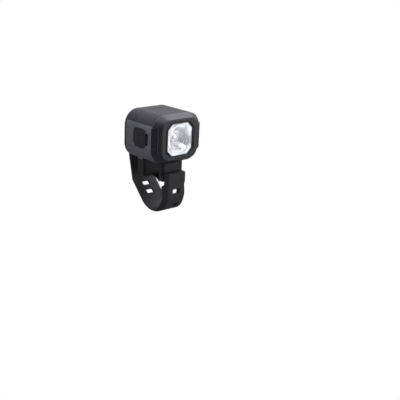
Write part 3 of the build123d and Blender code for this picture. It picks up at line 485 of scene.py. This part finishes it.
# Latches: the pads keep the CAD's rim and cross ribs; rows of small nubs stand in the grooves between
# the ribs, so that the pads look like the photograph's fine grid.
LATCH_BLACK = (0.024, 0.024, 0.033)
PAD_CORNER_X = 24.155  # where the sloping pad begins, at the front
pad_corner_y = span("latch_left", 1)[0]
ALONG_PAD, OUT_OF_PAD = (0.746, 0.666), (0.666, -0.746)
GROOVES, GROOVE_PITCH, LOWEST_GROOVE = 11, 1.927, -10.6
NUB_PLACES = (1.75, 2.95, 4.15, 5.35)
NUB_HALF_LENGTH, NUB_HALF_HEIGHT, NUB_RISE = 0.42, 0.36, 0.42
NUB_SINK = 0.34


def nub(mesh, middle, along, outward):
    """A small flat-topped pyramid that stands on the middle of its foot."""
    rings = []
    for share, rise in ((1.0, 0.0), (0.72, 0.75), (0.45, 1.0)):
        foot = middle + outward * NUB_RISE * rise
        side = along * NUB_HALF_LENGTH * share
        top = Vector((0, 0, NUB_HALF_HEIGHT * share))
        rings.append([foot - side - top, foot + side - top, foot + side + top, foot - side + top])
    skin(mesh, rings)


# The latches carry the strongest painted highlight on their edges, for their lit rims.
latch_finish = moulded("latch_plastic", LATCH_BLACK, roughness=0.46, grain_per_mm=3.0, grain_mm=0.02,
                       edge_mm=0.35, edge_highlight=3.4)
dress(latch_finish, "latch_left", "latch_right")
for side, name in ((1, "latch_left"), (-1, "latch_right")):
    nub_mesh = bmesh.new()
    along_pad = Vector((ALONG_PAD[0] * side, ALONG_PAD[1], 0))
    out_of_pad = Vector((OUT_OF_PAD[0] * side, OUT_OF_PAD[1], 0))
    for groove in range(GROOVES):
        height = LAMP_Z + LOWEST_GROOVE + (groove + 0.5) * GROOVE_PITCH
        corner = Vector((PAD_CORNER_X * side, pad_corner_y, height))
        for place in NUB_PLACES:
            nub(nub_mesh, corner + along_pad * place - out_of_pad * NUB_SINK, along_pad, out_of_pad)
    piece(name + "_nubs", nub_mesh, latch_finish, name)


# Port cover: a soft rubber door, slightly pillowed inside a shallow border, with two upright marks, a
# hinge bead at the rear edge and a hollow plug that enters the socket's opening.
DOOR_BLACK = (0.034, 0.034, 0.045)
PORT_Y = -0.4
port_z = LAMP_Z + 0.3
BEAD_X, BEAD_Y, BEAD_RADIUS, BEAD_LENGTH = -28.0, 8.1, 0.35, 8.6


def oblong(half_wide, half_tall, corner, points_a_corner=6):
    """Points round a rectangle with round corners, counted from its middle."""
    points = []
    for turn, (across, up) in enumerate(((1, 1), (-1, 1), (-1, -1), (1, -1))):
        for i in range(points_a_corner + 1):
            angle = math.radians(90 * (turn + i / points_a_corner))
            points.append((across * (half_wide - corner) + corner * math.cos(angle),
                           up * (half_tall - corner) + corner * math.sin(angle)))
    return points


def port_ring(half_wide, half_tall, corner, x, y=PORT_Y):
    """An oblong in the Y-Z plane, at a place across the lamp."""
    return [(x, y + a, port_z + b) for a, b in oblong(half_wide, half_tall, corner)]


# Rows of the door: half its size, its corner's radius and its place across the lamp.
door_rows = [
    (8.3, 4.1, -26.95), (8.5, 4.2, -27.1), (8.5, 4.2, -28.05), (8.38, 4.1, -28.26),
    (8.05, 3.85, -28.35), (7.65, 3.5, -28.33), (7.4, 3.4, -28.16), (7.05, 3.2, -28.16),
    (6.8, 3.1, -28.33), (5.6, 2.6, -28.40), (3.2, 1.6, -28.46), (1.2, 0.6, -28.48)]
# Rows of the marks and the plug: half width, half height, corner and place across the lamp.
mark_rows = [(0.48, 5.0, 0.4, -28.30), (0.42, 4.9, 0.36, -28.55), (0.22, 4.6, 0.18, -28.64)]
plug_rows = [
    (2.2, 5.0, 1.0, -26.96), (2.2, 5.0, 1.0, -25.95), (2.05, 4.85, 0.9, -25.8),
    (1.5, 4.3, 0.7, -25.8), (1.35, 4.15, 0.6, -25.95), (1.35, 4.15, 0.6, -26.8)]
cover_mesh = bmesh.new()
skin(cover_mesh, [port_ring(half, half, corner, x) for half, corner, x in door_rows])
for mark_y in (1.97, -0.56):
    skin(cover_mesh, [port_ring(*row, mark_y) for row in mark_rows])
skin(cover_mesh, [port_ring(*row) for row in plug_rows])
bead_place = Matrix.Translation(Vector((BEAD_X, BEAD_Y, port_z)) * MM)
bmesh.ops.create_cone(cover_mesh, cap_ends=True, segments=16, radius1=BEAD_RADIUS * MM,
                      radius2=BEAD_RADIUS * MM, depth=BEAD_LENGTH * MM, matrix=bead_place)
piece("port_door", cover_mesh, rubber("port_rubber", DOOR_BLACK, roughness=0.6), "port_cover",
      ("port_cover",), sharp=50.0)


# Power button: a round rubber key with a dished top and a flange behind the rear cap. Its outline runs
# from the middle of the dish round to the middle of the back.
KEY_BLACK = (0.029, 0.029, 0.038)
key_outline = [
    (0.0, 23.35), (1.9, 23.38), (2.2, 23.5), (2.5, 23.42), (4.4, 23.62), (5.5, 23.96), (5.9, 24.0),
    (6.25, 23.84), (6.4, 23.45), (6.4, 21.3), (7.3, 21.25), (7.3, 20.45), (7.1, 20.4), (0.0, 20.4)]
key_mesh = bmesh.new()
key_points = [key_mesh.verts.new(Vector((radius, y, LAMP_Z)) * MM) for radius, y in key_outline]
key_edges = [key_mesh.edges.new(pair) for pair in zip(key_points, key_points[1:])]
bmesh.ops.spin(key_mesh, geom=key_points + key_edges, cent=Vector((0, 0, LAMP_Z)) * MM, axis=(0, 1, 0),
               angle=math.tau, steps=48, use_merge=True)
bmesh.ops.remove_doubles(key_mesh, verts=key_mesh.verts, dist=0.01 * MM)
piece("power_key", key_mesh, rubber("button_rubber", KEY_BLACK, roughness=0.58), "power_button",
      ("power_button",), sharp=60.0)


# Rear seal: the rubber frame between the cap's collar and the shells, with its edges rounded off. Its
# corners are merged and its flat faces made whole before that.
REAR_SEAL_BLACK = (0.012, 0.012, 0.013)
rear_seal_mesh = bmesh.new()
rear_seal_mesh.from_mesh(nodes["rear_seal"].data)
bmesh.ops.remove_doubles(rear_seal_mesh, verts=rear_seal_mesh.verts, dist=0.002 * MM)
bmesh.ops.dissolve_limit(rear_seal_mesh, angle_limit=math.radians(0.5), verts=rear_seal_mesh.verts,
                         edges=rear_seal_mesh.edges)
piece("rear_frame_seal", rear_seal_mesh, rubber("rear_seal_rubber", REAR_SEAL_BLACK), "lamp",
      ("rear_seal",), bevel_mm=0.18)


# Inside of the light head and the power pack. Aluminium, circuit boards, cells and contacts each have
# their own finish, because they show when the power pack is taken off.
ALUMINIUM, STEEL, SPRING_STEEL = (0.80, 0.81, 0.83), (0.52, 0.52, 0.54), (0.66, 0.67, 0.70)
BLACKED_STEEL, NICKEL = (0.10, 0.10, 0.11), (0.78, 0.77, 0.74)
WHITE_MASK, GREEN_MASK, PAD_GOLD = (0.62, 0.63, 0.62), (0.010, 0.085, 0.035), (0.83, 0.62, 0.30)
SWITCH_BLACK, PLUG_CREAM, HOLDER_BLACK = (0.05, 0.05, 0.055), (0.72, 0.70, 0.62), (0.030, 0.031, 0.034)


def metal(name, colour, roughness, brush=None):
    """Bare or plated metal with fine scratches and edges painted lighter as a highlight; brush names the axis
    that they cross.
    """
    finish = Finish(name)
    cloud = finish.noise(0.15, 3.0)
    if brush is None:
        grain = finish.noise(2.5, 2.0)
    else:
        stretch = [0.15, 0.15, 0.15]
        stretch[brush] = 6.0
        place = finish.node("ShaderNodeVectorMath", {"operation": "MULTIPLY"}, {0: finish.place, 1: stretch})
        grain = finish.noise(1.0, 2.0, place)
    shade = finish.blend(cloud * 0.6 + grain * 0.4, toned(colour, 0.8), colour)
    return finish.surface(
        # Painted highlight: the edges are painted lighter.
        Base_Color=finish.blend(finish.edges(0.2) * 0.6, shade, toned(colour, 1.25)),
        Metallic=1.0, Roughness=roughness - 0.07 + grain * 0.16,
        Normal=finish.bump(grain, 0.01, 0.5, finish.rounded(0.12)))


def circuit(name, mask):
    """Solder mask with traces along two axes, gold pads and a printed edge."""
    finish = Finish(name)
    x, y, z = (finish.along(axis) for axis in (0, 1, 2))
    wander = finish.noise(0.12, 0.0)
    lines = (finish.wave(x + y + wander * 8.0, 1.6) < 0.2) * (finish.noise(0.10, 0.0) > 0.5)
    cross = (finish.wave(z + wander * 6.0, 2.1) < 0.18) * (finish.noise(0.13, 0.0) > 0.52)
    trace = finish.node("ShaderNodeMath", {"operation": "MAXIMUM"}, {0: lines, 1: cross})
    pads = finish.cells(0.38) < 0.11
    shade = finish.blend(trace * 0.7, mask, toned(mask, 1.9, 0.01))
    return finish.surface(
        Base_Color=finish.blend(pads, shade, PAD_GOLD),
        Metallic=pads * 0.9, Roughness=0.36 - trace * 0.06 - pads * 0.08,
        Normal=finish.bump(trace + pads * 0.6, 0.03, 0.6, finish.rounded(0.1)))


dress(metal("sink_aluminium", ALUMINIUM, roughness=0.36, brush=0), "heat_sink")
dress(metal("screw_steel", STEEL, roughness=0.34),
      "head_screws", "swivel_screw", "swivel_nut", "swivel_washer")
dress(metal("cap_screw_black", BLACKED_STEEL, roughness=0.40), "cap_screws")
dress(metal("spring_steel", SPRING_STEEL, roughness=0.26, brush=2), "latch_spring_left", "latch_spring_right")
dress(metal("socket_nickel", NICKEL, roughness=0.28, brush=1), "charge_socket")
dress(circuit("emitter_mask", WHITE_MASK), "emitter_board")
dress(circuit("driver_mask", GREEN_MASK), "driver_board", "charge_board", "button_board")
dress(moulded("switch_plastic", SWITCH_BLACK, roughness=0.4, grain_per_mm=3.0, grain_mm=0.01, edge_mm=0.15),
      "button_switch")
dress(moulded("plug_nylon", PLUG_CREAM, roughness=0.45, grain_per_mm=2.5, grain_mm=0.015, edge_mm=0.2,
              edge_highlight=0.1), "head_plug")
dress(moulded("holder_nylon", HOLDER_BLACK, roughness=0.5, grain_per_mm=1.6, grain_mm=0.03, edge_mm=0.3),
      "cell_holder")

CHIP_BACK, CHIP_PITCH = -12.25, 0.8  # the chip lies in front of that depth, with lines across it
EMITTER_WHITE, CHIP_LINES, CHIP_YELLOW = (0.82, 0.82, 0.80), (0.75, 0.60, 0.18), (0.93, 0.78, 0.25)
phosphor = Finish("emitter_phosphor")
chip = phosphor.along(1) < CHIP_BACK
grid = phosphor.wave(phosphor.along(0), CHIP_PITCH) > 0.12
dress(phosphor.surface(
    Base_Color=phosphor.blend(chip, EMITTER_WHITE, phosphor.blend(grid, CHIP_LINES, CHIP_YELLOW)),
    Roughness=0.22 + phosphor.noise(1.2, 2.0) * 0.12,
    Normal=phosphor.bump(phosphor.noise(2.5, 1.0), 0.01, 0.4, phosphor.rounded(0.15))), "emitter")

CELL_MIDDLE, WRAP_HALF = 1.2, 17.0  # the cells' middle across the lamp, and half their wrap's length
WRAP_DARK, WRAP_BLUE, CELL_STEEL = (0.020, 0.075, 0.19), (0.030, 0.105, 0.25), (0.74, 0.74, 0.73)
wrap = Finish("cell_wrap")
bare = abs(wrap.along(0) - CELL_MIDDLE) > WRAP_HALF
crinkle = wrap.noise(0.7, 3.0)
dress(wrap.surface(
    Base_Color=wrap.blend(bare, wrap.blend(crinkle, WRAP_DARK, WRAP_BLUE), CELL_STEEL),
    Metallic=bare * 0.95, Roughness=0.30 + crinkle * 0.10,
    Normal=wrap.bump(crinkle, 0.03, 0.5, wrap.rounded(0.2))), "battery_cells")

BLADE_PITCH = 2.4
CARRIER_BLACK, BLADE_GOLD = (0.025, 0.025, 0.028), (0.85, 0.63, 0.28)
gold = Finish("contact_gold")
blade = gold.wave(gold.along(0), BLADE_PITCH) < 0.5
dress(gold.surface(
    Base_Color=gold.blend(blade, CARRIER_BLACK, BLADE_GOLD),
    Metallic=blade, Roughness=0.42 - blade * 0.16,
    Normal=gold.bump(blade, 0.10, 0.5, gold.rounded(0.1))), "pack_contacts")

MILK_DARK, MILK_LIGHT = (0.60, 0.62, 0.62), (0.74, 0.76, 0.76)
guide = Finish("guide_milk")
dress(guide.surface(
    Base_Color=guide.blend(guide.noise(0.5, 2.0), MILK_DARK, MILK_LIGHT),
    Roughness=0.28 + guide.noise(2.0, 2.0) * 0.1, Subsurface_Weight=0.3,
    Normal=guide.bump(guide.noise(3.0, 1.0), 0.008, 0.4, guide.rounded(0.15))), "status_guides")


# Bracket: one moulding in satin black nylon, with a waist each side, a block behind and a hook for the
# tail. The swivel foot and the strap's pin are the same hard plastic in a paler grey.
BRACKET_BLACK = (0.016, 0.016, 0.023)
PIN_GREY = (0.046, 0.046, 0.052)
# The bracket's edges carry a painted highlight.
dress(moulded("bracket_plastic", BRACKET_BLACK, roughness=0.42, grain_per_mm=3.0, grain_mm=0.02, edge_mm=0.5,
              edge_highlight=0.5), "bracket")
dress(moulded("pin_plastic", PIN_GREY, roughness=0.45, grain_per_mm=3.0, grain_mm=0.01, edge_mm=0.3),
      "strap_pin", "swivel_foot")


# Bracket pad: rubber between the saddle and the bar, ribbed along the bar where it grips. It fills the
# arc over the bar from one side of the saddle to the other.
PAD_BLACK = (0.015, 0.015, 0.020)
BAR = 15.9
PAD_OUTSIDE = BAR + 1.4
PAD_START, PAD_STEP, PAD_SECTIONS = 46.4, 2.0, 43
RIB_TOP, RIB_ROOT = 0.04, 0.34  # how far off the bar the ribs' tops and the grooves between them lie
pad_rings = []
for step in range(PAD_SECTIONS):
    angle = math.radians(PAD_START + step * PAD_STEP)
    grip = BAR + (RIB_TOP if step % 2 else RIB_ROOT)
    outline = ((-12.8, grip + 0.1), (-12.6, grip), (12.6, grip), (12.8, grip + 0.1),
               (12.85, PAD_OUTSIDE - 0.1), (12.7, PAD_OUTSIDE),
               (-12.7, PAD_OUTSIDE), (-12.85, PAD_OUTSIDE - 0.1))
    pad_rings.append([(x, radius * math.cos(angle), radius * math.sin(angle)) for x, radius in outline])
pad_mesh = bmesh.new()
skin(pad_mesh, pad_rings)
piece("bar_pad", pad_mesh, rubber("pad_rubber", PAD_BLACK, roughness=0.7), "bracket", ("bracket_pad",))


# Strap: soft black rubber, thick in front where its head closes over the pin, thin under the bar and
# straight up to the knee behind. Oblong holes with rounded corners, sloping sides and ribs on the tail.
STRAP_BLACK = (0.042, 0.042, 0.053)
STRAP_HALF, FACE_HALF, TAIL_FACE_HALF = 13.0, 9.3, 11.6
STRAP_THICK, SIDE_EDGE = 2.6, 1.2  # of the whole band, and of its upright sides under the sloping ones
FRONT_Y = -20.5
OUTER_RADIUS, OUTER_SHIFT = 18.598, 1.902  # the circle that the outer face follows below the front
LEAVE = 315.88  # degrees round the bar at which the strap leaves it
KNEE_Y, KNEE_Z = 27.0, 5.0
LEAN, TAIL = math.radians(14.0), 25.0
HOLE_HALF_LONG, HOLE_HALF_SHORT, HOLE_CORNER = 4.2, 2.3, 1.3
PIN_Y, PIN_Z, KNUCKLE_RADIUS, KNUCKLE_WIDTH = -14.4, 16.4, 2.9, 16.0


def section(inner, outer, half_inside, half_outside, upright=0.46):
    """One cross section, from a point on the inner face to one on the outer face, in the Y-Z plane. Its
    sides stand upright for a share of the way out, and then slope in to the outer face."""
    (y0, z0), (y1, z1) = inner, outer
    ym, zm = y0 + (y1 - y0) * upright, z0 + (z1 - z0) * upright
    return [(-half_inside, y0, z0), (0, y0, z0), (half_inside, y0, z0), (half_inside, ym, zm),
            (half_outside, y1, z1), (0, y1, z1), (-half_outside, y1, z1), (-half_inside, ym, zm)]


def polar(radius, angle):
    """A place round the bar, in the Y-Z plane."""
    return (radius * math.cos(math.radians(angle)), radius * math.sin(math.radians(angle)))


def outer_reach(angle):
    """Distance of the outer face from the bar's axis: it thins from the front to the bottom."""
    if angle > 270:
        return BAR + STRAP_THICK
    turn = math.radians(angle)
    return math.sqrt(OUTER_RADIUS ** 2 - (OUTER_SHIFT * math.sin(turn)) ** 2) - OUTER_SHIFT * math.cos(turn)


def on_run(share):
    """A place on the inner face, on the way from the bar to the knee."""
    y, z = polar(BAR, LEAVE)
    return (y + (KNEE_Y - y) * share, z + (KNEE_Z - z) * share)


def on_tail(along, forward=0.0):
    """A place above the knee, on the tail's front face or forward of it."""
    return (KNEE_Y + along * math.sin(LEAN) - forward * math.cos(LEAN),
            KNEE_Z + along * math.cos(LEAN) + forward * math.sin(LEAN))


# Rows of the head: inner point, outer point, half widths inside and outside, upright share.
head_rows = [
    ((-15.2, 20.75), (-19.4, 20.8), 9.6, 7.6, 0.46),
    ((-14.95, 20.5), (-20.1, 20.45), 10.8, 8.3, 0.46),
    ((-14.95, 20.1), (-20.4, 20.0), 11.5, 8.8, 0.46),
    ((-14.95, 19.65), (FRONT_Y, 19.5), 12.0, 9.1, 0.46),
    ((-17.6, 19.6), (FRONT_Y, 18.8), 12.4, FACE_HALF, 0.1),
    ((-17.6, 16.8), (FRONT_Y, 16.8), 12.45, FACE_HALF, 0.1),
    ((-17.6, 13.8), (FRONT_Y, 13.8), 12.45, FACE_HALF, 0.1),
    ((-17.6, 10.8), (FRONT_Y, 10.9), 12.5, FACE_HALF, 0.1),
    ((-15.9, 9.6), (FRONT_Y, 9.9), 12.95, FACE_HALF, 0.26),
    ((-14.5, 8.5), (FRONT_Y, 8.9), STRAP_HALF, FACE_HALF, 0.26),
    (polar(BAR, 156), (FRONT_Y, 7.8), STRAP_HALF, FACE_HALF, 0.26)]
strap_rings = [section(*row) for row in head_rows]
for angle in (162, 170, 178):
    front = (FRONT_Y, -FRONT_Y * math.tan(math.radians(180 - angle)))
    strap_rings.append(section(polar(BAR, angle), front, STRAP_HALF, FACE_HALF, 0.26))
BEND_START, BEND_SECTIONS = 184, 22
slope_start = BAR + SIDE_EDGE
for step in range(BEND_SECTIONS + 1):
    angle = BEND_START + (LEAVE - BEND_START) * step / BEND_SECTIONS
    reach = outer_reach(angle)
    slope = min(1.0, (reach - slope_start) / (-FRONT_Y - slope_start))
    half_face = STRAP_HALF - slope * (STRAP_HALF - FACE_HALF)
    strap_rings.append(section(polar(BAR, angle), polar(reach, angle), STRAP_HALF, half_face,
                               SIDE_EDGE / (reach - BAR)))
out_y, out_z = polar(STRAP_THICK, LEAVE)
for share in (0.2, 0.4, 0.6, 0.8, 0.94):
    y, z = on_run(share)
    strap_rings.append(section((y, z), (y + out_y, z + out_z), STRAP_HALF, TAIL_FACE_HALF))
strap_rings.append(section((KNEE_Y, KNEE_Z), (29.35, 3.75), STRAP_HALF, TAIL_FACE_HALF))
for along in (2.0, 7.0, 12.0, 17.0, 22.0, 24.4):
    strap_rings.append(section(on_tail(along), on_tail(along, -STRAP_THICK), STRAP_HALF, TAIL_FACE_HALF))
tip_y, tip_z = on_tail(TAIL)
strap_rings.append(section((tip_y + 0.2, tip_z), (tip_y + 2.3, tip_z - 0.5), 12.6, 11.3))
strap_mesh = bmesh.new()
skin(strap_mesh, strap_rings)
bmesh.ops.recalc_face_normals(strap_mesh, faces=strap_mesh.faces)

holes = [(polar(BAR, angle), math.radians(angle)) for angle in (171.0, 210.97, 250.94)]
holes += [(on_run(share), math.radians(LEAVE)) for share in (0.35, 0.75)]
holes.append((on_tail(7.2), -LEAN))
hole_mesh = bmesh.new()
for (y, z), angle in holes:
    outward = Vector((0, math.cos(angle), math.sin(angle)))
    onward = Vector((0, -math.sin(angle), math.cos(angle)))
    rim = oblong(HOLE_HALF_LONG, HOLE_HALF_SHORT, HOLE_CORNER, points_a_corner=4)
    skin(hole_mesh, [[Vector((a, y, z)) + onward * b + outward * depth for a, b in rim]
                     for depth in (-3.0, 8.0)])
bmesh.ops.recalc_face_normals(hole_mesh, faces=hole_mesh.faces)


def without(mesh, cutter):
    """The mesh with the cutter's space taken out of it, as a new mesh."""
    objects = []
    for part in (mesh, cutter):
        data = bpy.data.meshes.new("cut")
        part.to_mesh(data)
        part.free()
        objects.append(bpy.data.objects.new("cut", data))
        bpy.context.scene.collection.objects.link(objects[-1])
    cut = objects[0].modifiers.new("holes", "BOOLEAN")
    cut.operation = "DIFFERENCE"
    cut.solver = "EXACT"
    cut.object = objects[1]
    result = bmesh.new()
    result.from_object(objects[0], bpy.context.evaluated_depsgraph_get())
    for made in objects:
        bpy.data.objects.remove(made)
    return result


strap_mesh = without(strap_mesh, hole_mesh)
RIB_PITCH, RIB_HALF_ROOT, RIB_HALF_TOP, RIB_DEPTH = 4.4, 0.75, 0.55, 0.4
for place in (-2, -1, 0, 1, 2):
    x = place * RIB_PITCH
    ribs = []
    for along, forward in ((11.5, -0.2), (12.1, 0.38), (23.2, 0.38), (23.8, -0.2)):
        y, z = on_tail(along, forward)
        ribs.append([(x - RIB_HALF_ROOT, y + RIB_DEPTH, z), (x + RIB_HALF_ROOT, y + RIB_DEPTH, z),
                     (x + RIB_HALF_TOP, y, z), (x - RIB_HALF_TOP, y, z)])
    skin(strap_mesh, ribs)
knuckle_place = Matrix.Translation(Vector((0, PIN_Y, PIN_Z)) * MM) @ Matrix.Rotation(math.radians(90), 4, "Y")
bmesh.ops.create_cone(strap_mesh, cap_ends=True, segments=40, radius1=KNUCKLE_RADIUS * MM,
                      radius2=KNUCKLE_RADIUS * MM, depth=KNUCKLE_WIDTH * MM, matrix=knuckle_place)
piece("bar_strap", strap_mesh, rubber("strap_rubber", STRAP_BLACK, roughness=0.62), "bracket",
      ("strap",), bevel_mm=0.35, sharp=32.0)


# Studio: a paper floor that the lamp never touches, four square soft boxes and a dim sky that is
# brighter behind the lamp. The camera itself sees the floor and the sky as white.
WHITE, PAPER_GREY = (1.0, 1.0, 1.0), (0.25, 0.25, 0.25)
FLOOR_HALF, FLOOR_DROP = 3.0, 0.03
floor_mesh = bmesh.new()
bmesh.ops.create_grid(floor_mesh, x_segments=1, y_segments=1, size=FLOOR_HALF)
bmesh.ops.translate(floor_mesh, verts=floor_mesh.verts, vec=(0, 0, cad_box[0][2] - FLOOR_DROP))
floor_data = bpy.data.meshes.new("floor")
floor_mesh.to_mesh(floor_data)
floor_mesh.free()
floor = bpy.data.objects.new("floor", floor_data)
bpy.context.scene.collection.objects.link(floor)
paper = Finish("floor_paper")
seen = paper.node("ShaderNodeLightPath", {}, {}, "Is Camera Ray")
matt = paper.node("ShaderNodeBsdfDiffuse", {}, {"Color": PAPER_GREY})
white = paper.node("ShaderNodeEmission", {}, {"Color": WHITE, "Strength": 1.0})
floor_data.materials.append(paper.close(paper.mix(seen, matt, white)))

SKY_FRONT, SKY_BEHIND, SKY_DIRECTION = 0.035, 0.75, (0.35, 0.85, 0.40)
sky = Finish("studio", bpy.data.worlds, "Generated")
behind = sky.dot(sky.place, Vector(SKY_DIRECTION).normalized())
dim = sky.node("ShaderNodeMapRange", {}, {"Value": behind, "From Min": -0.2, "From Max": 0.9,
                                          "To Min": SKY_FRONT, "To Max": SKY_BEHIND})
seen = sky.node("ShaderNodeLightPath", {}, {}, "Is Camera Ray")
level = sky.node("ShaderNodeMapRange", {}, {"Value": seen, "To Min": dim, "To Max": 1.0})
backdrop = sky.node("ShaderNodeBackground", {}, {"Color": WHITE, "Strength": level})
bpy.context.scene.world = sky.close(backdrop, "ShaderNodeOutputWorld")

BOX_AWAY = 0.9
body_middle = Vector((0, 0, LAMP_Z)) * MM
for name, direction, width, watts in (
        ("key", (-0.10, -0.25, 1.0), 0.8, 4.0),
        ("crown", (0.63, 0.15, 0.75), 0.6, 3.6),
        ("front", (0.60, -0.90, -0.10), 0.6, 3.8),
        ("side", (-1.0, 0.60, -0.35), 0.5, 2.0)):
    soft_box = bpy.data.lights.new(name, "AREA")
    soft_box.shape = "RECTANGLE"
    soft_box.size = soft_box.size_y = width
    soft_box.energy = watts
    stand = bpy.data.objects.new(name, soft_box)
    towards = Vector(direction).normalized()
    stand.location = body_middle + towards * BOX_AWAY
    stand.rotation_euler = towards.to_track_quat("Z", "Y").to_euler()
    bpy.context.scene.collection.objects.link(stand)


# Camera: 0.7 m from the lamp's body, 40 degrees round towards the rider's right and 13 degrees up. The
# focal length and the place of the body's middle are in pixels of the photograph's frame.
TURN, RISE, ROLL = math.radians(-40.3), math.radians(13.3), math.radians(2.0)
CAMERA_AWAY, SENSOR = 0.7, 36.0  # in metres, and in millimetres
PHOTO_SIZE, FOCAL, BODY_U, BODY_V = 400, 766.4, 163.6, 134.2
back = Vector((math.sin(TURN) * math.cos(RISE), -math.cos(TURN) * math.cos(RISE), math.sin(RISE)))
ahead = -back
right = ahead.cross(Vector((0, 0, 1))).normalized()
up = right.cross(ahead)
rolled_right = right * math.cos(ROLL) + up * math.sin(ROLL)
rolled_up = up * math.cos(ROLL) - right * math.sin(ROLL)
ray = Vector(((BODY_U - PHOTO_SIZE / 2) / FOCAL, -(BODY_V - PHOTO_SIZE / 2) / FOCAL, 1)).normalized()
swing = Vector((0, 0, 1)).rotation_difference(ray).to_matrix()
aim = swing @ Matrix((rolled_right, rolled_up, ahead))
camera_data = bpy.data.cameras.new("photo_view")
camera_data.sensor_width = SENSOR
camera_data.lens = FOCAL / PHOTO_SIZE * SENSOR
camera = bpy.data.objects.new("photo_view", camera_data)
camera.matrix_world = Matrix((aim[0], aim[1], -aim[2])).transposed().to_4x4()
camera.location = body_middle + back * CAMERA_AWAY
bpy.context.scene.collection.objects.link(camera)
bpy.context.scene.camera = camera
bpy.context.scene.view_settings.view_transform = "Standard"
